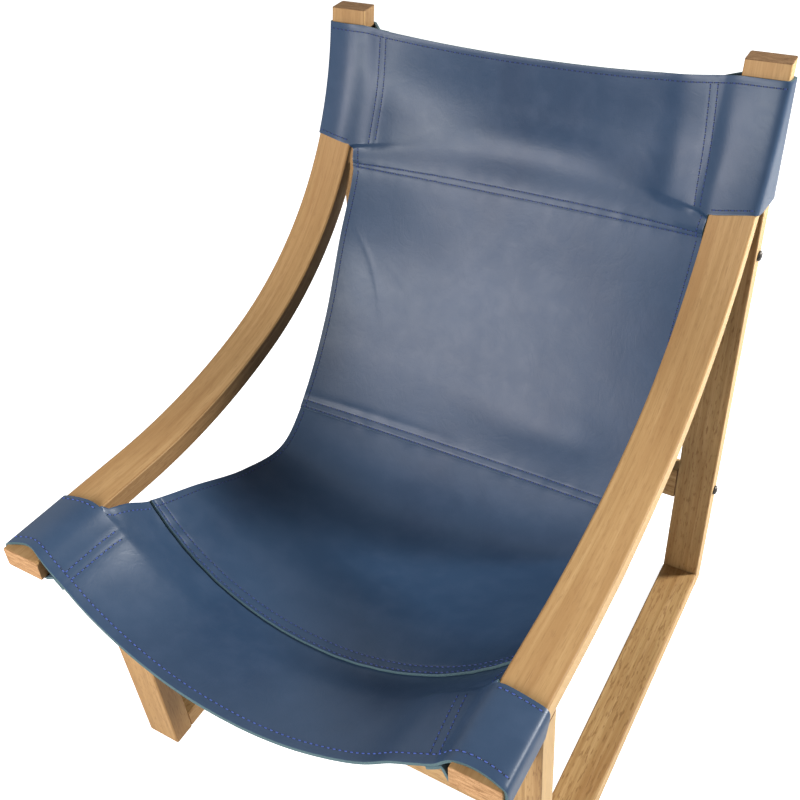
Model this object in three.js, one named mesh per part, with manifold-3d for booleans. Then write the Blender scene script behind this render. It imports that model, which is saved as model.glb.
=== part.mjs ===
// Leather sling lounge chair: two bent side frames, three bolted cross rails and a stitched sling.
// Millimetres, +Z up, floor at Z = 0, the chair faces -Y, left is -X.

import * as THREE from 'three';
import { mergeVertices } from 'three/addons/utils/BufferGeometryUtils.js';
import Module from 'manifold-3d';

const wasm = await Module();
wasm.setup();

// Overall sizes and wood sections
const OVERALL_WIDTH = 670;
const MEMBER_WIDTH = 58;
const ARM_THICKNESS = 29;
const LEG_DEPTH = 35;
const FLOOR_RAIL_HEIGHT = 32;
const POST_DEPTH = 32;
const CROSS_RAIL_DEPTH = 32;
const CROSS_RAIL_HEIGHT = 58;
const EDGE_RADIUS = 3;
const EDGE_STEPS = 2;

// Arm: a straight front, a wide bend over the seat and a tighter bend up the back
const ARM_FRONT_REACH = 412;
const ARM_FRONT_HEIGHT = 516;
const ARM_FRONT_SLOPE = THREE.MathUtils.degToRad(-2.3);
const ARM_STRAIGHT_LENGTH = 198;
const ARM_SEAT_BEND_RADIUS = 860;
const ARM_SEAT_BEND_ANGLE = THREE.MathUtils.degToRad(18.2);
const ARM_BACK_BEND_RADIUS = 480;
const ARM_BACK_BEND_ANGLE = THREE.MathUtils.degToRad(62.9);
const ARM_RINGS = 30;

// Leg, post and rails
const LEG_INSET = 92;
const POST_LEAN = THREE.MathUtils.degToRad(3.16);
const POST_JOINT_LENGTH = 123;
const POST_TIP = 3;
const LOWER_RAIL_HEIGHT = 214;
const UPPER_RAIL_DROP = 137;
const FRONT_RAIL_DROP = 203;

// Bolts, barrel nuts and dowels
const BOLT_DIAMETER = 6;
const BOLT_HEAD_DIAMETER = 15;
const BOLT_HEAD_HEIGHT = 4.5;
const BOLT_NUT_REACH = 32;
const BOLT_PAST_NUT = 4;
const BOLT_SIDES = 16;
const NUT_DIAMETER = 10;
const NUT_LENGTH = 22;
const DOWEL_DIAMETER = 9;
const DOWEL_LENGTH = 40;
const DOWEL_SPACING = 28;
const DOWEL_DEPTH_IN_ARM = 16;
const POST_DOWEL_LENGTH = 28;
const POST_DOWEL_DEPTH_IN_ARM = 15;
const POST_DOWEL_RISE = 20;
const DOWEL_SIDES = 12;
const HOLE_CLEARANCE = 0.35;
const JOINT_GAP = 0.3;
const CUT_OVERRUN = 5;

// Sling leather
const LEATHER = 3.5;
const LEATHER_GAP = 0.3;
const LOOP_SLACK = 0.9;
const SEAM_LAP = 16;
const SEAM_RAMP = 12;
const TOP_LOOP_INSET = 20;
const TOP_LOOP_LENGTH = 176;
const TOP_LOOP_TILT = THREE.MathUtils.degToRad(10);
const TOP_FLAP_REACH = 47;
const TOP_FLAP_TAPER = 10;
const FRONT_LOOP_INSET = 7;
const FRONT_LOOP_LENGTH = 101;
const FRONT_LOOP_TAPER = 19;
const FRONT_FLAP_REACH = 44;
const FLAP_STITCH_WIDTH = 14;
const SLING_EDGE_CLEARANCE = 1;
const SLING_EDGE_TUCK = 4;
const SLING_EDGE_TUCK_DEPTH = 6;
const SLING_TUCK_STATIONS_SHARE = 0.12;
const SLING_TUCK_FADE_SHARE = 0.7;
const SLING_DROP = 285;
const SLING_SAG = 110;
const CORNER_STEPS = 3;

const armInner = OVERALL_WIDTH / 2 - MEMBER_WIDTH;
const armOuter = OVERALL_WIDTH / 2;
const armMiddle = (armInner + armOuter) / 2;

// The free stations of the sling's side edge, from back to front.
// along: share of the way from the front loop to the top loop; drop: share of SLING_DROP;
// narrow: share of the member width that the edge draws in; sag: share of SLING_SAG;
// aim: direction of the sag, as a share of a right angle turned back from straight down.
const SLING_STATION_SHARES = [
  { along: 0.991, drop: 0.106, narrow: 0.033, sag: 0.411, aim: 0.668 },
  { along: 0.889, drop: 0.365, narrow: 0.077, sag: 0.421, aim: 0.606 },
  { along: 0.784, drop: 0.671, narrow: 0.087, sag: 0.375, aim: 0.585 },
  { along: 0.636, drop: 0.949, narrow: 0.073, sag: 0.340, aim: 0.501 },
  { along: 0.539, drop: 0.983, narrow: 0.101, sag: 0.420, aim: 0.136 },
  { along: 0.391, drop: 0.780, narrow: 0.096, sag: 0.619, aim: 0.000 },
  { along: 0.231, drop: 0.472, narrow: 0.066, sag: 0.828, aim: -0.084 },
  { along: 0.109, drop: 0.247, narrow: 0.030, sag: 1.067, aim: -0.177 },
];
// Sag at the stations of the two pairs of loops, same shares
const TOP_LOOP_SAG_SHARES = [
  { sag: 0.281, aim: 0.443 },
  { sag: 0.376, aim: 0.727 },
  { sag: 0.416, aim: 0.787 },
];
const FRONT_LOOP_SAG_SHARES = [
  { sag: 1.284, aim: -0.100 },
  { sag: 0.940, aim: -0.150 },
];
const FLATTER_MIDDLE_SHARE = 0.156;

// Stations are numbered from the top edge of the head panel to the front edge of the seat
const TOP_LOOP_END = TOP_LOOP_SAG_SHARES.length - 1;
const HEAD_SEAM = TOP_LOOP_END + 1;
const LUMBAR_SEAM = HEAD_SEAM + 3;
const SEAT_SEAM = TOP_LOOP_END + SLING_STATION_SHARES.length;
const FRONT_LOOP_START = SEAT_SEAM + 1;
const FRONT_EDGE = FRONT_LOOP_START + 1;

const wood = () => new THREE.MeshStandardMaterial({ color: 0xc49a66, roughness: 0.55, metalness: 0 });
const dowelWood = () => new THREE.MeshStandardMaterial({ color: 0xd8bd90, roughness: 0.7, metalness: 0 });
const steel = () => new THREE.MeshStandardMaterial({ color: 0x3c3a38, roughness: 0.35, metalness: 1 });
const leather = () => new THREE.MeshStandardMaterial({ color: 0x3c5273, roughness: 0.42, metalness: 0 });

const chair = new THREE.Group();

// Closed triangle mesh from corner points and triangles
function closedGeometry(points, triangles) {
  const geometry = new THREE.BufferGeometry();
  const positions = points.flatMap((point) => [point.x, point.y, point.z]);
  geometry.setAttribute('position', new THREE.Float32BufferAttribute(positions, 3));
  geometry.setIndex(triangles.flat());
  return geometry;
}

function toSolid(geometry) {
  const plain = geometry.clone();
  plain.deleteAttribute('normal');
  plain.deleteAttribute('uv');
  const merged = mergeVertices(plain);
  return new wasm.Manifold(new wasm.Mesh({
    numProp: 3,
    vertProperties: new Float32Array(merged.attributes.position.array),
    triVerts: new Uint32Array(merged.index.array),
  }));
}

// Volume inside triangles, positive where their faces point out
function signedVolume(points, triangles) {
  return triangles.reduce((sum, [a, b, c]) => (
    sum + points[a].dot(points[b].clone().cross(points[c])) / 6
  ), 0);
}

function orientedSolid(points, triangles) {
  const outward = signedVolume(points, triangles) > 0;
  const turned = outward ? triangles : triangles.map(([a, b, c]) => [a, c, b]);
  return toSolid(closedGeometry(points, turned));
}

function toGeometry(solid) {
  const mesh = solid.getMesh();
  const geometry = new THREE.BufferGeometry();
  geometry.setAttribute('position', new THREE.Float32BufferAttribute(mesh.vertProperties, 3));
  geometry.setIndex(Array.from(mesh.triVerts));
  geometry.computeVertexNormals();
  return geometry;
}

// The same body on the other side of the chair's middle plane
function mirrored(geometry) {
  const other = geometry.clone().scale(-1, 1, 1);
  const index = Array.from(other.index.array);
  for (let corner = 0; corner < index.length; corner += 3) {
    const first = index[corner];
    index[corner] = index[corner + 1];
    index[corner + 1] = first;
  }
  other.setIndex(index);
  other.computeVertexNormals();
  return other;
}

function addPiece(name, geometry, material) {
  const mesh = new THREE.Mesh(geometry, material);
  mesh.name = name;
  chair.add(mesh);
}

// Both hands of a piece that is modelled on the +X side
function addPair(name, solid, material) {
  const right = toGeometry(solid);
  addPiece(`${name}_right`, right, material());
  addPiece(`${name}_left`, mirrored(right), material());
}

// Rounded rectangle about its own centre, turning anticlockwise
function roundedOutline(width, height, radius) {
  const outline = [];
  for (const [cornerX, cornerY, start] of [[1, -1, -1], [1, 1, 0], [-1, 1, 1], [-1, -1, 2]]) {
    for (let step = 0; step <= EDGE_STEPS; step += 1) {
      const angle = (start + step / EDGE_STEPS) * Math.PI / 2;
      outline.push(new THREE.Vector2(
        cornerX * (width / 2 - radius) + radius * Math.cos(angle),
        cornerY * (height / 2 - radius) + radius * Math.sin(angle),
      ));
    }
  }
  return outline;
}

// Straight bar with eased edges, centred on its own axis along local Z
function straightBar(width, depth, length) {
  const shape = new THREE.Shape(roundedOutline(width, depth, EDGE_RADIUS));
  const geometry = new THREE.ExtrudeGeometry(shape, { depth: length, bevelEnabled: false });
  return geometry.translate(0, 0, -length / 2);
}

function block(width, depth, height) {
  return new THREE.BoxGeometry(width, depth, height);
}

function rod(diameter, length, sides) {
  return new THREE.CylinderGeometry(diameter / 2, diameter / 2, length, sides);
}

// Place of the arm's upper face at a distance from its front end, in the side view
function armPlace(distance) {
  const bends = [
    { length: ARM_STRAIGHT_LENGTH, radius: Infinity },
    { length: ARM_SEAT_BEND_RADIUS * ARM_SEAT_BEND_ANGLE, radius: ARM_SEAT_BEND_RADIUS },
    { length: ARM_BACK_BEND_RADIUS * ARM_BACK_BEND_ANGLE, radius: ARM_BACK_BEND_RADIUS },
  ];
  const place = { y: -ARM_FRONT_REACH, z: ARM_FRONT_HEIGHT, slope: ARM_FRONT_SLOPE };
  let left = distance;
  for (const [index, bend] of bends.entries()) {
    const last = index === bends.length - 1;
    const part = last ? left : Math.min(left, bend.length);
    if (bend.radius === Infinity) {
      place.y += part * Math.cos(place.slope);
      place.z += part * Math.sin(place.slope);
    } else {
      const turned = place.slope + part / bend.radius;
      place.y += bend.radius * (Math.sin(turned) - Math.sin(place.slope));
      place.z += bend.radius * (Math.cos(place.slope) - Math.cos(turned));
      place.slope = turned;
    }
    left -= part;
    if (left <= 0) {
      break;
    }
  }
  return place;
}

const armLength = ARM_STRAIGHT_LENGTH
  + ARM_SEAT_BEND_RADIUS * ARM_SEAT_BEND_ANGLE
  + ARM_BACK_BEND_RADIUS * ARM_BACK_BEND_ANGLE;

// Point above (or, if negative, below) the arm's upper face, square to it
function abovePlace(x, place, rise) {
  return new THREE.Vector3(
    x,
    place.y - rise * Math.sin(place.slope),
    place.z + rise * Math.cos(place.slope),
  );
}

// Distance along the arm at which its upper face reaches a depth
function armDistanceAtDepth(depth) {
  let low = 0;
  let high = armLength;
  while (high - low > LEATHER_GAP / 1000) {
    const middle = (low + high) / 2;
    if (armPlace(middle).y < depth) {
      low = middle;
    } else {
      high = middle;
    }
  }
  return low;
}

// Body swept through rings of equal count, closed at both ends
function sweptSolid(rings) {
  const count = rings[0].length;
  const triangles = [];
  for (let ring = 0; ring < rings.length - 1; ring += 1) {
    for (let side = 0; side < count; side += 1) {
      const next = (side + 1) % count;
      const a = ring * count + side;
      const b = ring * count + next;
      triangles.push([a, b, b + count], [a, b + count, a + count]);
    }
  }
  const lastRing = (rings.length - 1) * count;
  for (let side = 1; side < count - 1; side += 1) {
    triangles.push([0, side + 1, side], [lastRing, lastRing + side, lastRing + side + 1]);
  }
  return orientedSolid(rings.flat(), triangles);
}

function armSolid() {
  const outline = roundedOutline(MEMBER_WIDTH, ARM_THICKNESS, EDGE_RADIUS);
  const rings = [];
  for (let ring = 0; ring <= ARM_RINGS; ring += 1) {
    const place = armPlace(armLength * ring / ARM_RINGS);
    rings.push(outline.map((corner) => (
      abovePlace(armMiddle + corner.x, place, corner.y - ARM_THICKNESS / 2)
    )));
  }
  return sweptSolid(rings);
}

// Height and slope of the arm's lower face above a depth on the straight front
function armUndersideAt(depth) {
  const place = armPlace(armDistanceAtDepth(depth));
  const under = abovePlace(0, place, -ARM_THICKNESS);
  return {
    z: under.z + (depth - under.y) * Math.tan(place.slope),
    slope: place.slope,
  };
}

const legFront = LEG_INSET - ARM_FRONT_REACH;

// Point of the arm's back face where the front of the post runs into it
const postJoint = armBackAt(armLength - POST_JOINT_LENGTH);

function armBackAt(distance) {
  return abovePlace(0, armPlace(distance), -ARM_THICKNESS);
}

// Place on the leaning post's front face at a height
function postFrontAt(height) {
  return postJoint.y - (postJoint.z - height) * Math.tan(POST_LEAN);
}

const postBackOffset = POST_DEPTH / Math.cos(POST_LEAN);

// Height at which the bevelled post has thinned to its tip
function postTopHeight() {
  let low = armLength - POST_JOINT_LENGTH;
  let high = armLength;
  while (high - low > LEATHER_GAP / 1000) {
    const middle = (low + high) / 2;
    const back = armBackAt(middle);
    if (postFrontAt(back.z) + postBackOffset - back.y > POST_TIP) {
      low = middle;
    } else {
      high = middle;
    }
  }
  return armBackAt(low).z;
}

// The four glued joints of a side frame: a point on the joint face, the way the dowels run
// (turned up from straight back), their length and how much of it lies past the face
function sideJoints() {
  const legMiddle = legFront + LEG_DEPTH / 2;
  const legTop = armUndersideAt(legMiddle);
  const bevelDistance = armLength - POST_JOINT_LENGTH + POST_DOWEL_RISE;
  const bevel = armBackAt(bevelDistance);
  const footHeight = FLOOR_RAIL_HEIGHT / 2;
  return {
    leg_to_arm_dowel: {
      y: legMiddle,
      z: legTop.z,
      turn: Math.PI / 2 + legTop.slope,
      length: DOWEL_LENGTH,
      past: DOWEL_DEPTH_IN_ARM,
    },
    front_foot_dowel: {
      y: legFront + LEG_DEPTH,
      z: footHeight,
      turn: 0,
      length: DOWEL_LENGTH,
      past: DOWEL_LENGTH / 2,
    },
    rear_foot_dowel: {
      y: postFrontAt(footHeight),
      z: footHeight,
      turn: 0,
      length: DOWEL_LENGTH,
      past: DOWEL_LENGTH / 2,
    },
    post_to_arm_dowel: {
      y: bevel.y,
      z: bevel.z,
      turn: Math.PI / 2 + armPlace(bevelDistance).slope,
      length: POST_DOWEL_LENGTH,
      past: POST_DOWEL_DEPTH_IN_ARM,
    },
  };
}

// One of the two dowels of a joint, or the hole for it; side is -1 or 1
function dowelSolid(joint, side, clearance) {
  const shift = joint.past - joint.length / 2;
  const geometry = rod(
    DOWEL_DIAMETER + 2 * clearance,
    joint.length + 2 * clearance,
    DOWEL_SIDES,
  );
  geometry.rotateX(joint.turn);
  geometry.translate(
    armMiddle + side * DOWEL_SPACING / 2,
    joint.y + shift * Math.cos(joint.turn),
    joint.z + shift * Math.sin(joint.turn),
  );
  return toSolid(geometry);
}

function withDowelHoles(solid, jointList) {
  let cut = solid;
  for (const joint of jointList) {
    for (const side of [-1, 1]) {
      cut = cut.subtract(dowelSolid(joint, side, HOLE_CLEARANCE));
    }
  }
  return cut;
}

// The three bolted cross rails: middle of the section, lean, and the bolt axis through it
function crossRails() {
  const rearMiddle = (height) => (
    postFrontAt(height) + postBackOffset / 2
  );
  const upper = postJoint.z - UPPER_RAIL_DROP;
  return {
    upper_back_rail: { y: rearMiddle(upper), z: upper, lean: -POST_LEAN },
    lower_back_rail: { y: rearMiddle(LOWER_RAIL_HEIGHT), z: LOWER_RAIL_HEIGHT, lean: -POST_LEAN },
    front_cross_rail: {
      y: legFront + CROSS_RAIL_DEPTH / 2,
      z: ARM_FRONT_HEIGHT - FRONT_RAIL_DROP,
      lean: 0,
    },
  };
}

function boltHole(rail) {
  const length = armOuter - armInner + BOLT_NUT_REACH + BOLT_PAST_NUT + JOINT_GAP + HOLE_CLEARANCE;
  const hole = rod(BOLT_DIAMETER + 2 * HOLE_CLEARANCE, length + CUT_OVERRUN, BOLT_SIDES);
  hole.rotateZ(Math.PI / 2);
  hole.translate(armOuter + CUT_OVERRUN - (length + CUT_OVERRUN) / 2, rail.y, rail.z);
  return toSolid(hole);
}

const railNutX = armInner - JOINT_GAP - BOLT_NUT_REACH;

function nutRod(rail, diameter, length, shift) {
  const geometry = rod(diameter, length, BOLT_SIDES);
  geometry.translate(0, shift, 0);
  geometry.rotateX(rail.lean);
  geometry.translate(railNutX, rail.y, rail.z);
  return toSolid(geometry);
}

function barrelNut(rail) {
  return nutRod(rail, NUT_DIAMETER, NUT_LENGTH, 0).subtract(boltHole(rail));
}

// The hole opens at the back of the rail and ends just past the nut
function nutHole(rail) {
  const open = CROSS_RAIL_DEPTH / 2 + CUT_OVERRUN;
  const closed = NUT_LENGTH / 2 + HOLE_CLEARANCE;
  return nutRod(rail, NUT_DIAMETER + 2 * HOLE_CLEARANCE, open + closed, (open - closed) / 2);
}

function boltSolid(rail) {
  const shank = JOINT_GAP + MEMBER_WIDTH + JOINT_GAP + BOLT_NUT_REACH + BOLT_PAST_NUT;
  const profile = [
    new THREE.Vector2(0, -shank),
    new THREE.Vector2(BOLT_DIAMETER / 2, -shank),
    new THREE.Vector2(BOLT_DIAMETER / 2, 0),
    new THREE.Vector2(BOLT_HEAD_DIAMETER / 2, 0),
  ];
  for (let step = 1; step <= CORNER_STEPS; step += 1) {
    const angle = step / CORNER_STEPS * Math.PI / 2;
    profile.push(new THREE.Vector2(
      step === CORNER_STEPS ? 0 : BOLT_HEAD_DIAMETER / 2 * Math.cos(angle),
      BOLT_HEAD_HEIGHT * Math.sin(angle),
    ));
  }
  const geometry = new THREE.LatheGeometry(profile, BOLT_SIDES);
  geometry.rotateZ(-Math.PI / 2);
  geometry.translate(armOuter + JOINT_GAP, rail.y, rail.z);
  return toSolid(geometry);
}

function crossRailSolid(rail) {
  const length = 2 * (armInner - JOINT_GAP);
  const bar = straightBar(CROSS_RAIL_DEPTH, CROSS_RAIL_HEIGHT, length);
  bar.rotateX(Math.PI / 2);
  bar.rotateZ(Math.PI / 2);
  bar.rotateX(rail.lean);
  bar.translate(0, rail.y, rail.z);
  const rightCuts = boltHole(rail).add(nutHole(rail));
  const leftCuts = toSolid(mirrored(toGeometry(rightCuts)));
  return toSolid(bar).subtract(rightCuts).subtract(leftCuts);
}

// Leg: upright, its top cut to the arm's underside
function legSolid(joints, rail) {
  const reach = ARM_FRONT_HEIGHT;
  const bar = straightBar(MEMBER_WIDTH, LEG_DEPTH, reach);
  bar.translate(armMiddle, joints.leg_to_arm_dowel.y, reach / 2);
  const above = block(2 * MEMBER_WIDTH, reach, reach);
  above.translate(0, 0, reach / 2 - JOINT_GAP);
  above.rotateX(joints.leg_to_arm_dowel.turn - Math.PI / 2);
  above.translate(armMiddle, joints.leg_to_arm_dowel.y, joints.leg_to_arm_dowel.z);
  const cut = toSolid(bar).subtract(toSolid(above)).subtract(boltHole(rail));
  return withDowelHoles(cut, [joints.leg_to_arm_dowel, joints.front_foot_dowel]);
}

// Floor rail: between the back of the leg and the leaning front of the post
function floorRailSolid(joints) {
  const start = legFront + LEG_DEPTH + JOINT_GAP;
  const end = postFrontAt(FLOOR_RAIL_HEIGHT) + FLOOR_RAIL_HEIGHT;
  const bar = straightBar(MEMBER_WIDTH, FLOOR_RAIL_HEIGHT, end - start);
  bar.rotateX(Math.PI / 2);
  bar.translate(armMiddle, (start + end) / 2, FLOOR_RAIL_HEIGHT / 2);
  const behind = block(2 * MEMBER_WIDTH, ARM_FRONT_HEIGHT, ARM_FRONT_HEIGHT);
  behind.translate(0, ARM_FRONT_HEIGHT / 2 - JOINT_GAP, 0);
  behind.rotateX(-POST_LEAN);
  behind.translate(armMiddle, postFrontAt(FLOOR_RAIL_HEIGHT), FLOOR_RAIL_HEIGHT);
  const cut = toSolid(bar).subtract(toSolid(behind));
  return withDowelHoles(cut, [joints.front_foot_dowel, joints.rear_foot_dowel]);
}

// Body that fills everything in front of the arm's back face, for cutting the post
function inFrontOfArmBack() {
  const rings = [];
  const rise = ARM_BACK_BEND_RADIUS / 2;
  for (let ring = 0; ring <= ARM_RINGS + 2; ring += 1) {
    const place = armPlace(armLength * ring / ARM_RINGS);
    const low = -ARM_THICKNESS - JOINT_GAP;
    rings.push([
      abovePlace(armMiddle - MEMBER_WIDTH, place, low),
      abovePlace(armMiddle - MEMBER_WIDTH, place, rise),
      abovePlace(armMiddle + MEMBER_WIDTH, place, rise),
      abovePlace(armMiddle + MEMBER_WIDTH, place, low),
    ]);
  }
  return sweptSolid(rings);
}

// Post: leans back, foot cut level, top cut to the back of the arm
function postSolid(joints, rails) {
  const top = postTopHeight();
  const reach = 2 * (top + POST_DEPTH);
  const bar = straightBar(MEMBER_WIDTH, POST_DEPTH, reach);
  bar.rotateX(-POST_LEAN);
  bar.translate(armMiddle, postFrontAt(0) + postBackOffset / 2, 0);
  const floor = block(2 * MEMBER_WIDTH, reach, reach);
  floor.translate(armMiddle, postFrontAt(0), -reach / 2);
  const ceiling = block(2 * MEMBER_WIDTH, reach, reach);
  ceiling.translate(armMiddle, postFrontAt(top), top + reach / 2);
  const cut = toSolid(bar)
    .subtract(toSolid(floor))
    .subtract(toSolid(ceiling))
    .subtract(inFrontOfArmBack())
    .subtract(boltHole(rails.upper_back_rail))
    .subtract(boltHole(rails.lower_back_rail));
  return withDowelHoles(cut, [joints.rear_foot_dowel, joints.post_to_arm_dowel]);
}

// Sling stations: the place of the side edge and the sag of the middle below it
function loopPlace(station) {
  if (station <= TOP_LOOP_END) {
    const share = station / TOP_LOOP_END;
    return armPlace(armLength - TOP_LOOP_INSET - share * TOP_LOOP_LENGTH);
  }
  return armPlace(FRONT_LOOP_INSET + FRONT_LOOP_LENGTH * (FRONT_EDGE - station));
}

function edgeStations() {
  const points = [];
  const onLeather = LEATHER_GAP + LEATHER;
  const frontEnd = loopPlace(FRONT_LOOP_START);
  const topEnd = loopPlace(TOP_LOOP_END);
  for (let station = 0; station <= FRONT_EDGE; station += 1) {
    const free = SLING_STATION_SHARES[station - HEAD_SEAM];
    if (free) {
      points.push(new THREE.Vector3(
        armInner - SLING_EDGE_CLEARANCE - free.narrow * MEMBER_WIDTH,
        frontEnd.y + free.along * (topEnd.y - frontEnd.y),
        frontEnd.z + free.along * (topEnd.z - frontEnd.z) - free.drop * SLING_DROP,
      ));
    } else {
      points.push(abovePlace(armInner - SLING_EDGE_CLEARANCE, loopPlace(station), onLeather));
    }
  }
  return points;
}

const sags = [...TOP_LOOP_SAG_SHARES, ...SLING_STATION_SHARES, ...FRONT_LOOP_SAG_SHARES];
const edgePoints = edgeStations();
const edgeCurve = new THREE.CatmullRomCurve3(edgePoints);
const middleCurve = new THREE.CatmullRomCurve3(edgePoints.map((edge, station) => {
  const angle = sags[station].aim * Math.PI / 2;
  const sag = sags[station].sag * SLING_SAG;
  return new THREE.Vector3(0, edge.y + sag * Math.sin(angle), edge.z - sag * Math.cos(angle));
}));

function edgeAt(station) {
  const onLoop = station <= TOP_LOOP_END || station >= FRONT_LOOP_START;
  if (onLoop) {
    return abovePlace(
      armInner - SLING_EDGE_CLEARANCE,
      loopPlace(station),
      LEATHER_GAP + LEATHER,
    );
  }
  const edge = edgeCurve.getPoint(station / FRONT_EDGE);
  const fromLoop = Math.min(station - TOP_LOOP_END, FRONT_LOOP_START - station);
  const tuck = THREE.MathUtils.smoothstep(fromLoop, 0, SLING_TUCK_STATIONS_SHARE);
  const fade = 1 - THREE.MathUtils.smoothstep(
    fromLoop,
    SLING_TUCK_STATIONS_SHARE,
    SLING_TUCK_FADE_SHARE,
  );
  edge.x -= SLING_EDGE_TUCK * tuck;
  const loopEnd = station < LUMBAR_SEAM ? TOP_LOOP_END : FRONT_LOOP_START;
  const place = loopPlace(loopEnd);
  const up = abovePlace(0, place, 1).sub(abovePlace(0, place, 0));
  return edge.addScaledVector(up, -SLING_EDGE_TUCK_DEPTH * tuck * fade);
}

// Upper face of the sling; across runs from -1 at the left edge to 1 at the right
function slingPoint(station, across) {
  const edge = edgeAt(station);
  const middle = middleCurve.getPoint(station / FRONT_EDGE);
  const rise = (1 - FLATTER_MIDDLE_SHARE) * across ** 2 + FLATTER_MIDDLE_SHARE * across ** 4;
  return new THREE.Vector3(
    edge.x * across,
    middle.y + (edge.y - middle.y) * rise,
    middle.z + (edge.z - middle.z) * rise,
  );
}

const DIFFERENCE_SHARE = 0.001;

// Direction from the leather towards the sitter
function slingNormal(station, across) {
  const low = Math.max(station - DIFFERENCE_SHARE, 0);
  const high = Math.min(station + DIFFERENCE_SHARE, FRONT_EDGE);
  const down = slingPoint(high, across).sub(slingPoint(low, across));
  const right = slingPoint(station, across + DIFFERENCE_SHARE)
    .sub(slingPoint(station, across - DIFFERENCE_SHARE));
  return down.cross(right).normalize();
}

// A length along the middle of the sling, as a part of one station
function stationStep(station, length) {
  const low = middleCurve.getPoint(Math.max(station - DIFFERENCE_SHARE, 0) / FRONT_EDGE);
  const high = middleCurve.getPoint(Math.min(station + DIFFERENCE_SHARE, FRONT_EDGE) / FRONT_EDGE);
  return length * 2 * DIFFERENCE_SHARE / low.distanceTo(high);
}

// The lower end of a panel rises over the next panel where the two are sewn together
function lapLift(station, endStation) {
  const lap = stationStep(endStation, SEAM_LAP);
  const ramp = stationStep(endStation, SEAM_RAMP);
  const share = THREE.MathUtils.smoothstep(station, endStation - lap - ramp, endStation - lap);
  return share * (LEATHER + LEATHER_GAP);
}

// Upper and lower point of a panel
function panelPair(station, across, endStation) {
  const normal = slingNormal(station, across);
  const lift = endStation < FRONT_EDGE ? lapLift(station, endStation) : 0;
  const upper = slingPoint(station, across).addScaledVector(normal, lift);
  return { upper, lower: upper.clone().addScaledVector(normal, -LEATHER) };
}

// Leather that rounds a wood edge, from one direction to another about the edge's centre
function roundedPairs(centre, from, to, fromGap, toGap) {
  const pairs = [];
  for (let step = 0; step <= CORNER_STEPS; step += 1) {
    const angle = step / CORNER_STEPS * Math.PI / 2;
    const cos = Math.cos(angle);
    const sin = Math.sin(angle);
    const at = (thickness) => centre.clone()
      .addScaledVector(from, cos * (EDGE_RADIUS + fromGap + thickness))
      .addScaledVector(to, sin * (EDGE_RADIUS + toGap + thickness));
    pairs.push({ upper: at(LEATHER), lower: at(0) });
  }
  return pairs;
}

// The loop round a member: over its front face, its outer side and its back, then as a flap
// to the lower face of the panel, where it is sewn. placeAt gives the arm's place for each
// part of the way round, depthAt the depth of what is wrapped and its direction.
function loopPairs(station, placeAt, wrapAt, flapReach, endStation) {
  const side = new THREE.Vector3(1, 0, 0);
  const pairs = [];
  const cornerX = armOuter - EDGE_RADIUS;
  const front = placeAt(0);
  const frontUp = abovePlace(0, front, 1).sub(abovePlace(0, front, 0));
  for (const x of [armInner + EDGE_RADIUS, armMiddle]) {
    pairs.push({
      upper: abovePlace(x, front, LEATHER_GAP + LEATHER),
      lower: abovePlace(x, front, LEATHER_GAP),
    });
  }
  const outer = placeAt(1 / 3);
  const outerUp = abovePlace(0, outer, 1).sub(abovePlace(0, outer, 0));
  const outerCentre = abovePlace(cornerX, outer, -EDGE_RADIUS);
  pairs.push(...roundedPairs(outerCentre, outerUp, side, LEATHER_GAP, LOOP_SLACK));
  const under = placeAt(1);
  const wrap = wrapAt(under);
  const backCentre = abovePlace(cornerX, under, 0)
    .addScaledVector(wrap.direction, wrap.depth - EDGE_RADIUS);
  pairs.push(...roundedPairs(backCentre, side, wrap.direction, LOOP_SLACK, LOOP_SLACK));
  const innerCentre = backCentre.clone();
  innerCentre.x = armInner + EDGE_RADIUS;
  const flapX = armInner - flapReach;
  const flap = [flapX + FLAP_STITCH_WIDTH, flapX].map((x) => {
    const across = x / edgeAt(station).x;
    const normal = slingNormal(station, across);
    const panel = panelPair(station, across, endStation);
    const lower = panel.lower.clone().addScaledVector(normal, -LEATHER_GAP);
    return { upper: lower.clone().addScaledVector(normal, -LEATHER), lower };
  });
  const toFlap = flap[0].lower.clone().sub(innerCentre).normalize();
  const turned = wrap.direction.clone()
    .addScaledVector(toFlap, -wrap.direction.dot(toFlap))
    .normalize();
  for (const direction of [wrap.direction, turned]) {
    const at = (thickness) => innerCentre.clone()
      .addScaledVector(direction, EDGE_RADIUS + LOOP_SLACK + thickness);
    pairs.push({ upper: at(LEATHER), lower: at(0) });
  }
  pairs.push(...flap);
  return pairs;
}

function topLoopPairs(station) {
  const place = loopPlace(station);
  const direction = new THREE.Vector3(0, Math.cos(TOP_LOOP_TILT), -Math.sin(TOP_LOOP_TILT));
  const wrapAt = (from) => {
    const arm = abovePlace(0, from, 0).sub(abovePlace(0, from, 1)).dot(direction);
    const gap = postFrontAt(from.z) + postBackOffset - from.y;
    const toPostBack = gap / (Math.cos(TOP_LOOP_TILT) + Math.sin(TOP_LOOP_TILT) * Math.tan(POST_LEAN));
    return { direction, depth: Math.max(toPostBack, ARM_THICKNESS / arm) };
  };
  const reach = TOP_FLAP_REACH - TOP_FLAP_TAPER * station / TOP_LOOP_END;
  return loopPairs(station, () => place, wrapAt, reach, HEAD_SEAM);
}

function frontLoopPairs(station) {
  const share = (FRONT_EDGE - station) / (FRONT_EDGE - FRONT_LOOP_START);
  const placeAt = (round) => armPlace(
    FRONT_LOOP_INSET + (FRONT_LOOP_LENGTH - FRONT_LOOP_TAPER * round) * share,
  );
  const wrapAt = (from) => ({
    direction: abovePlace(0, from, 0).sub(abovePlace(0, from, 1)),
    depth: ARM_THICKNESS,
  });
  return loopPairs(station, placeAt, wrapAt, FRONT_FLAP_REACH, FRONT_EDGE);
}

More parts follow.
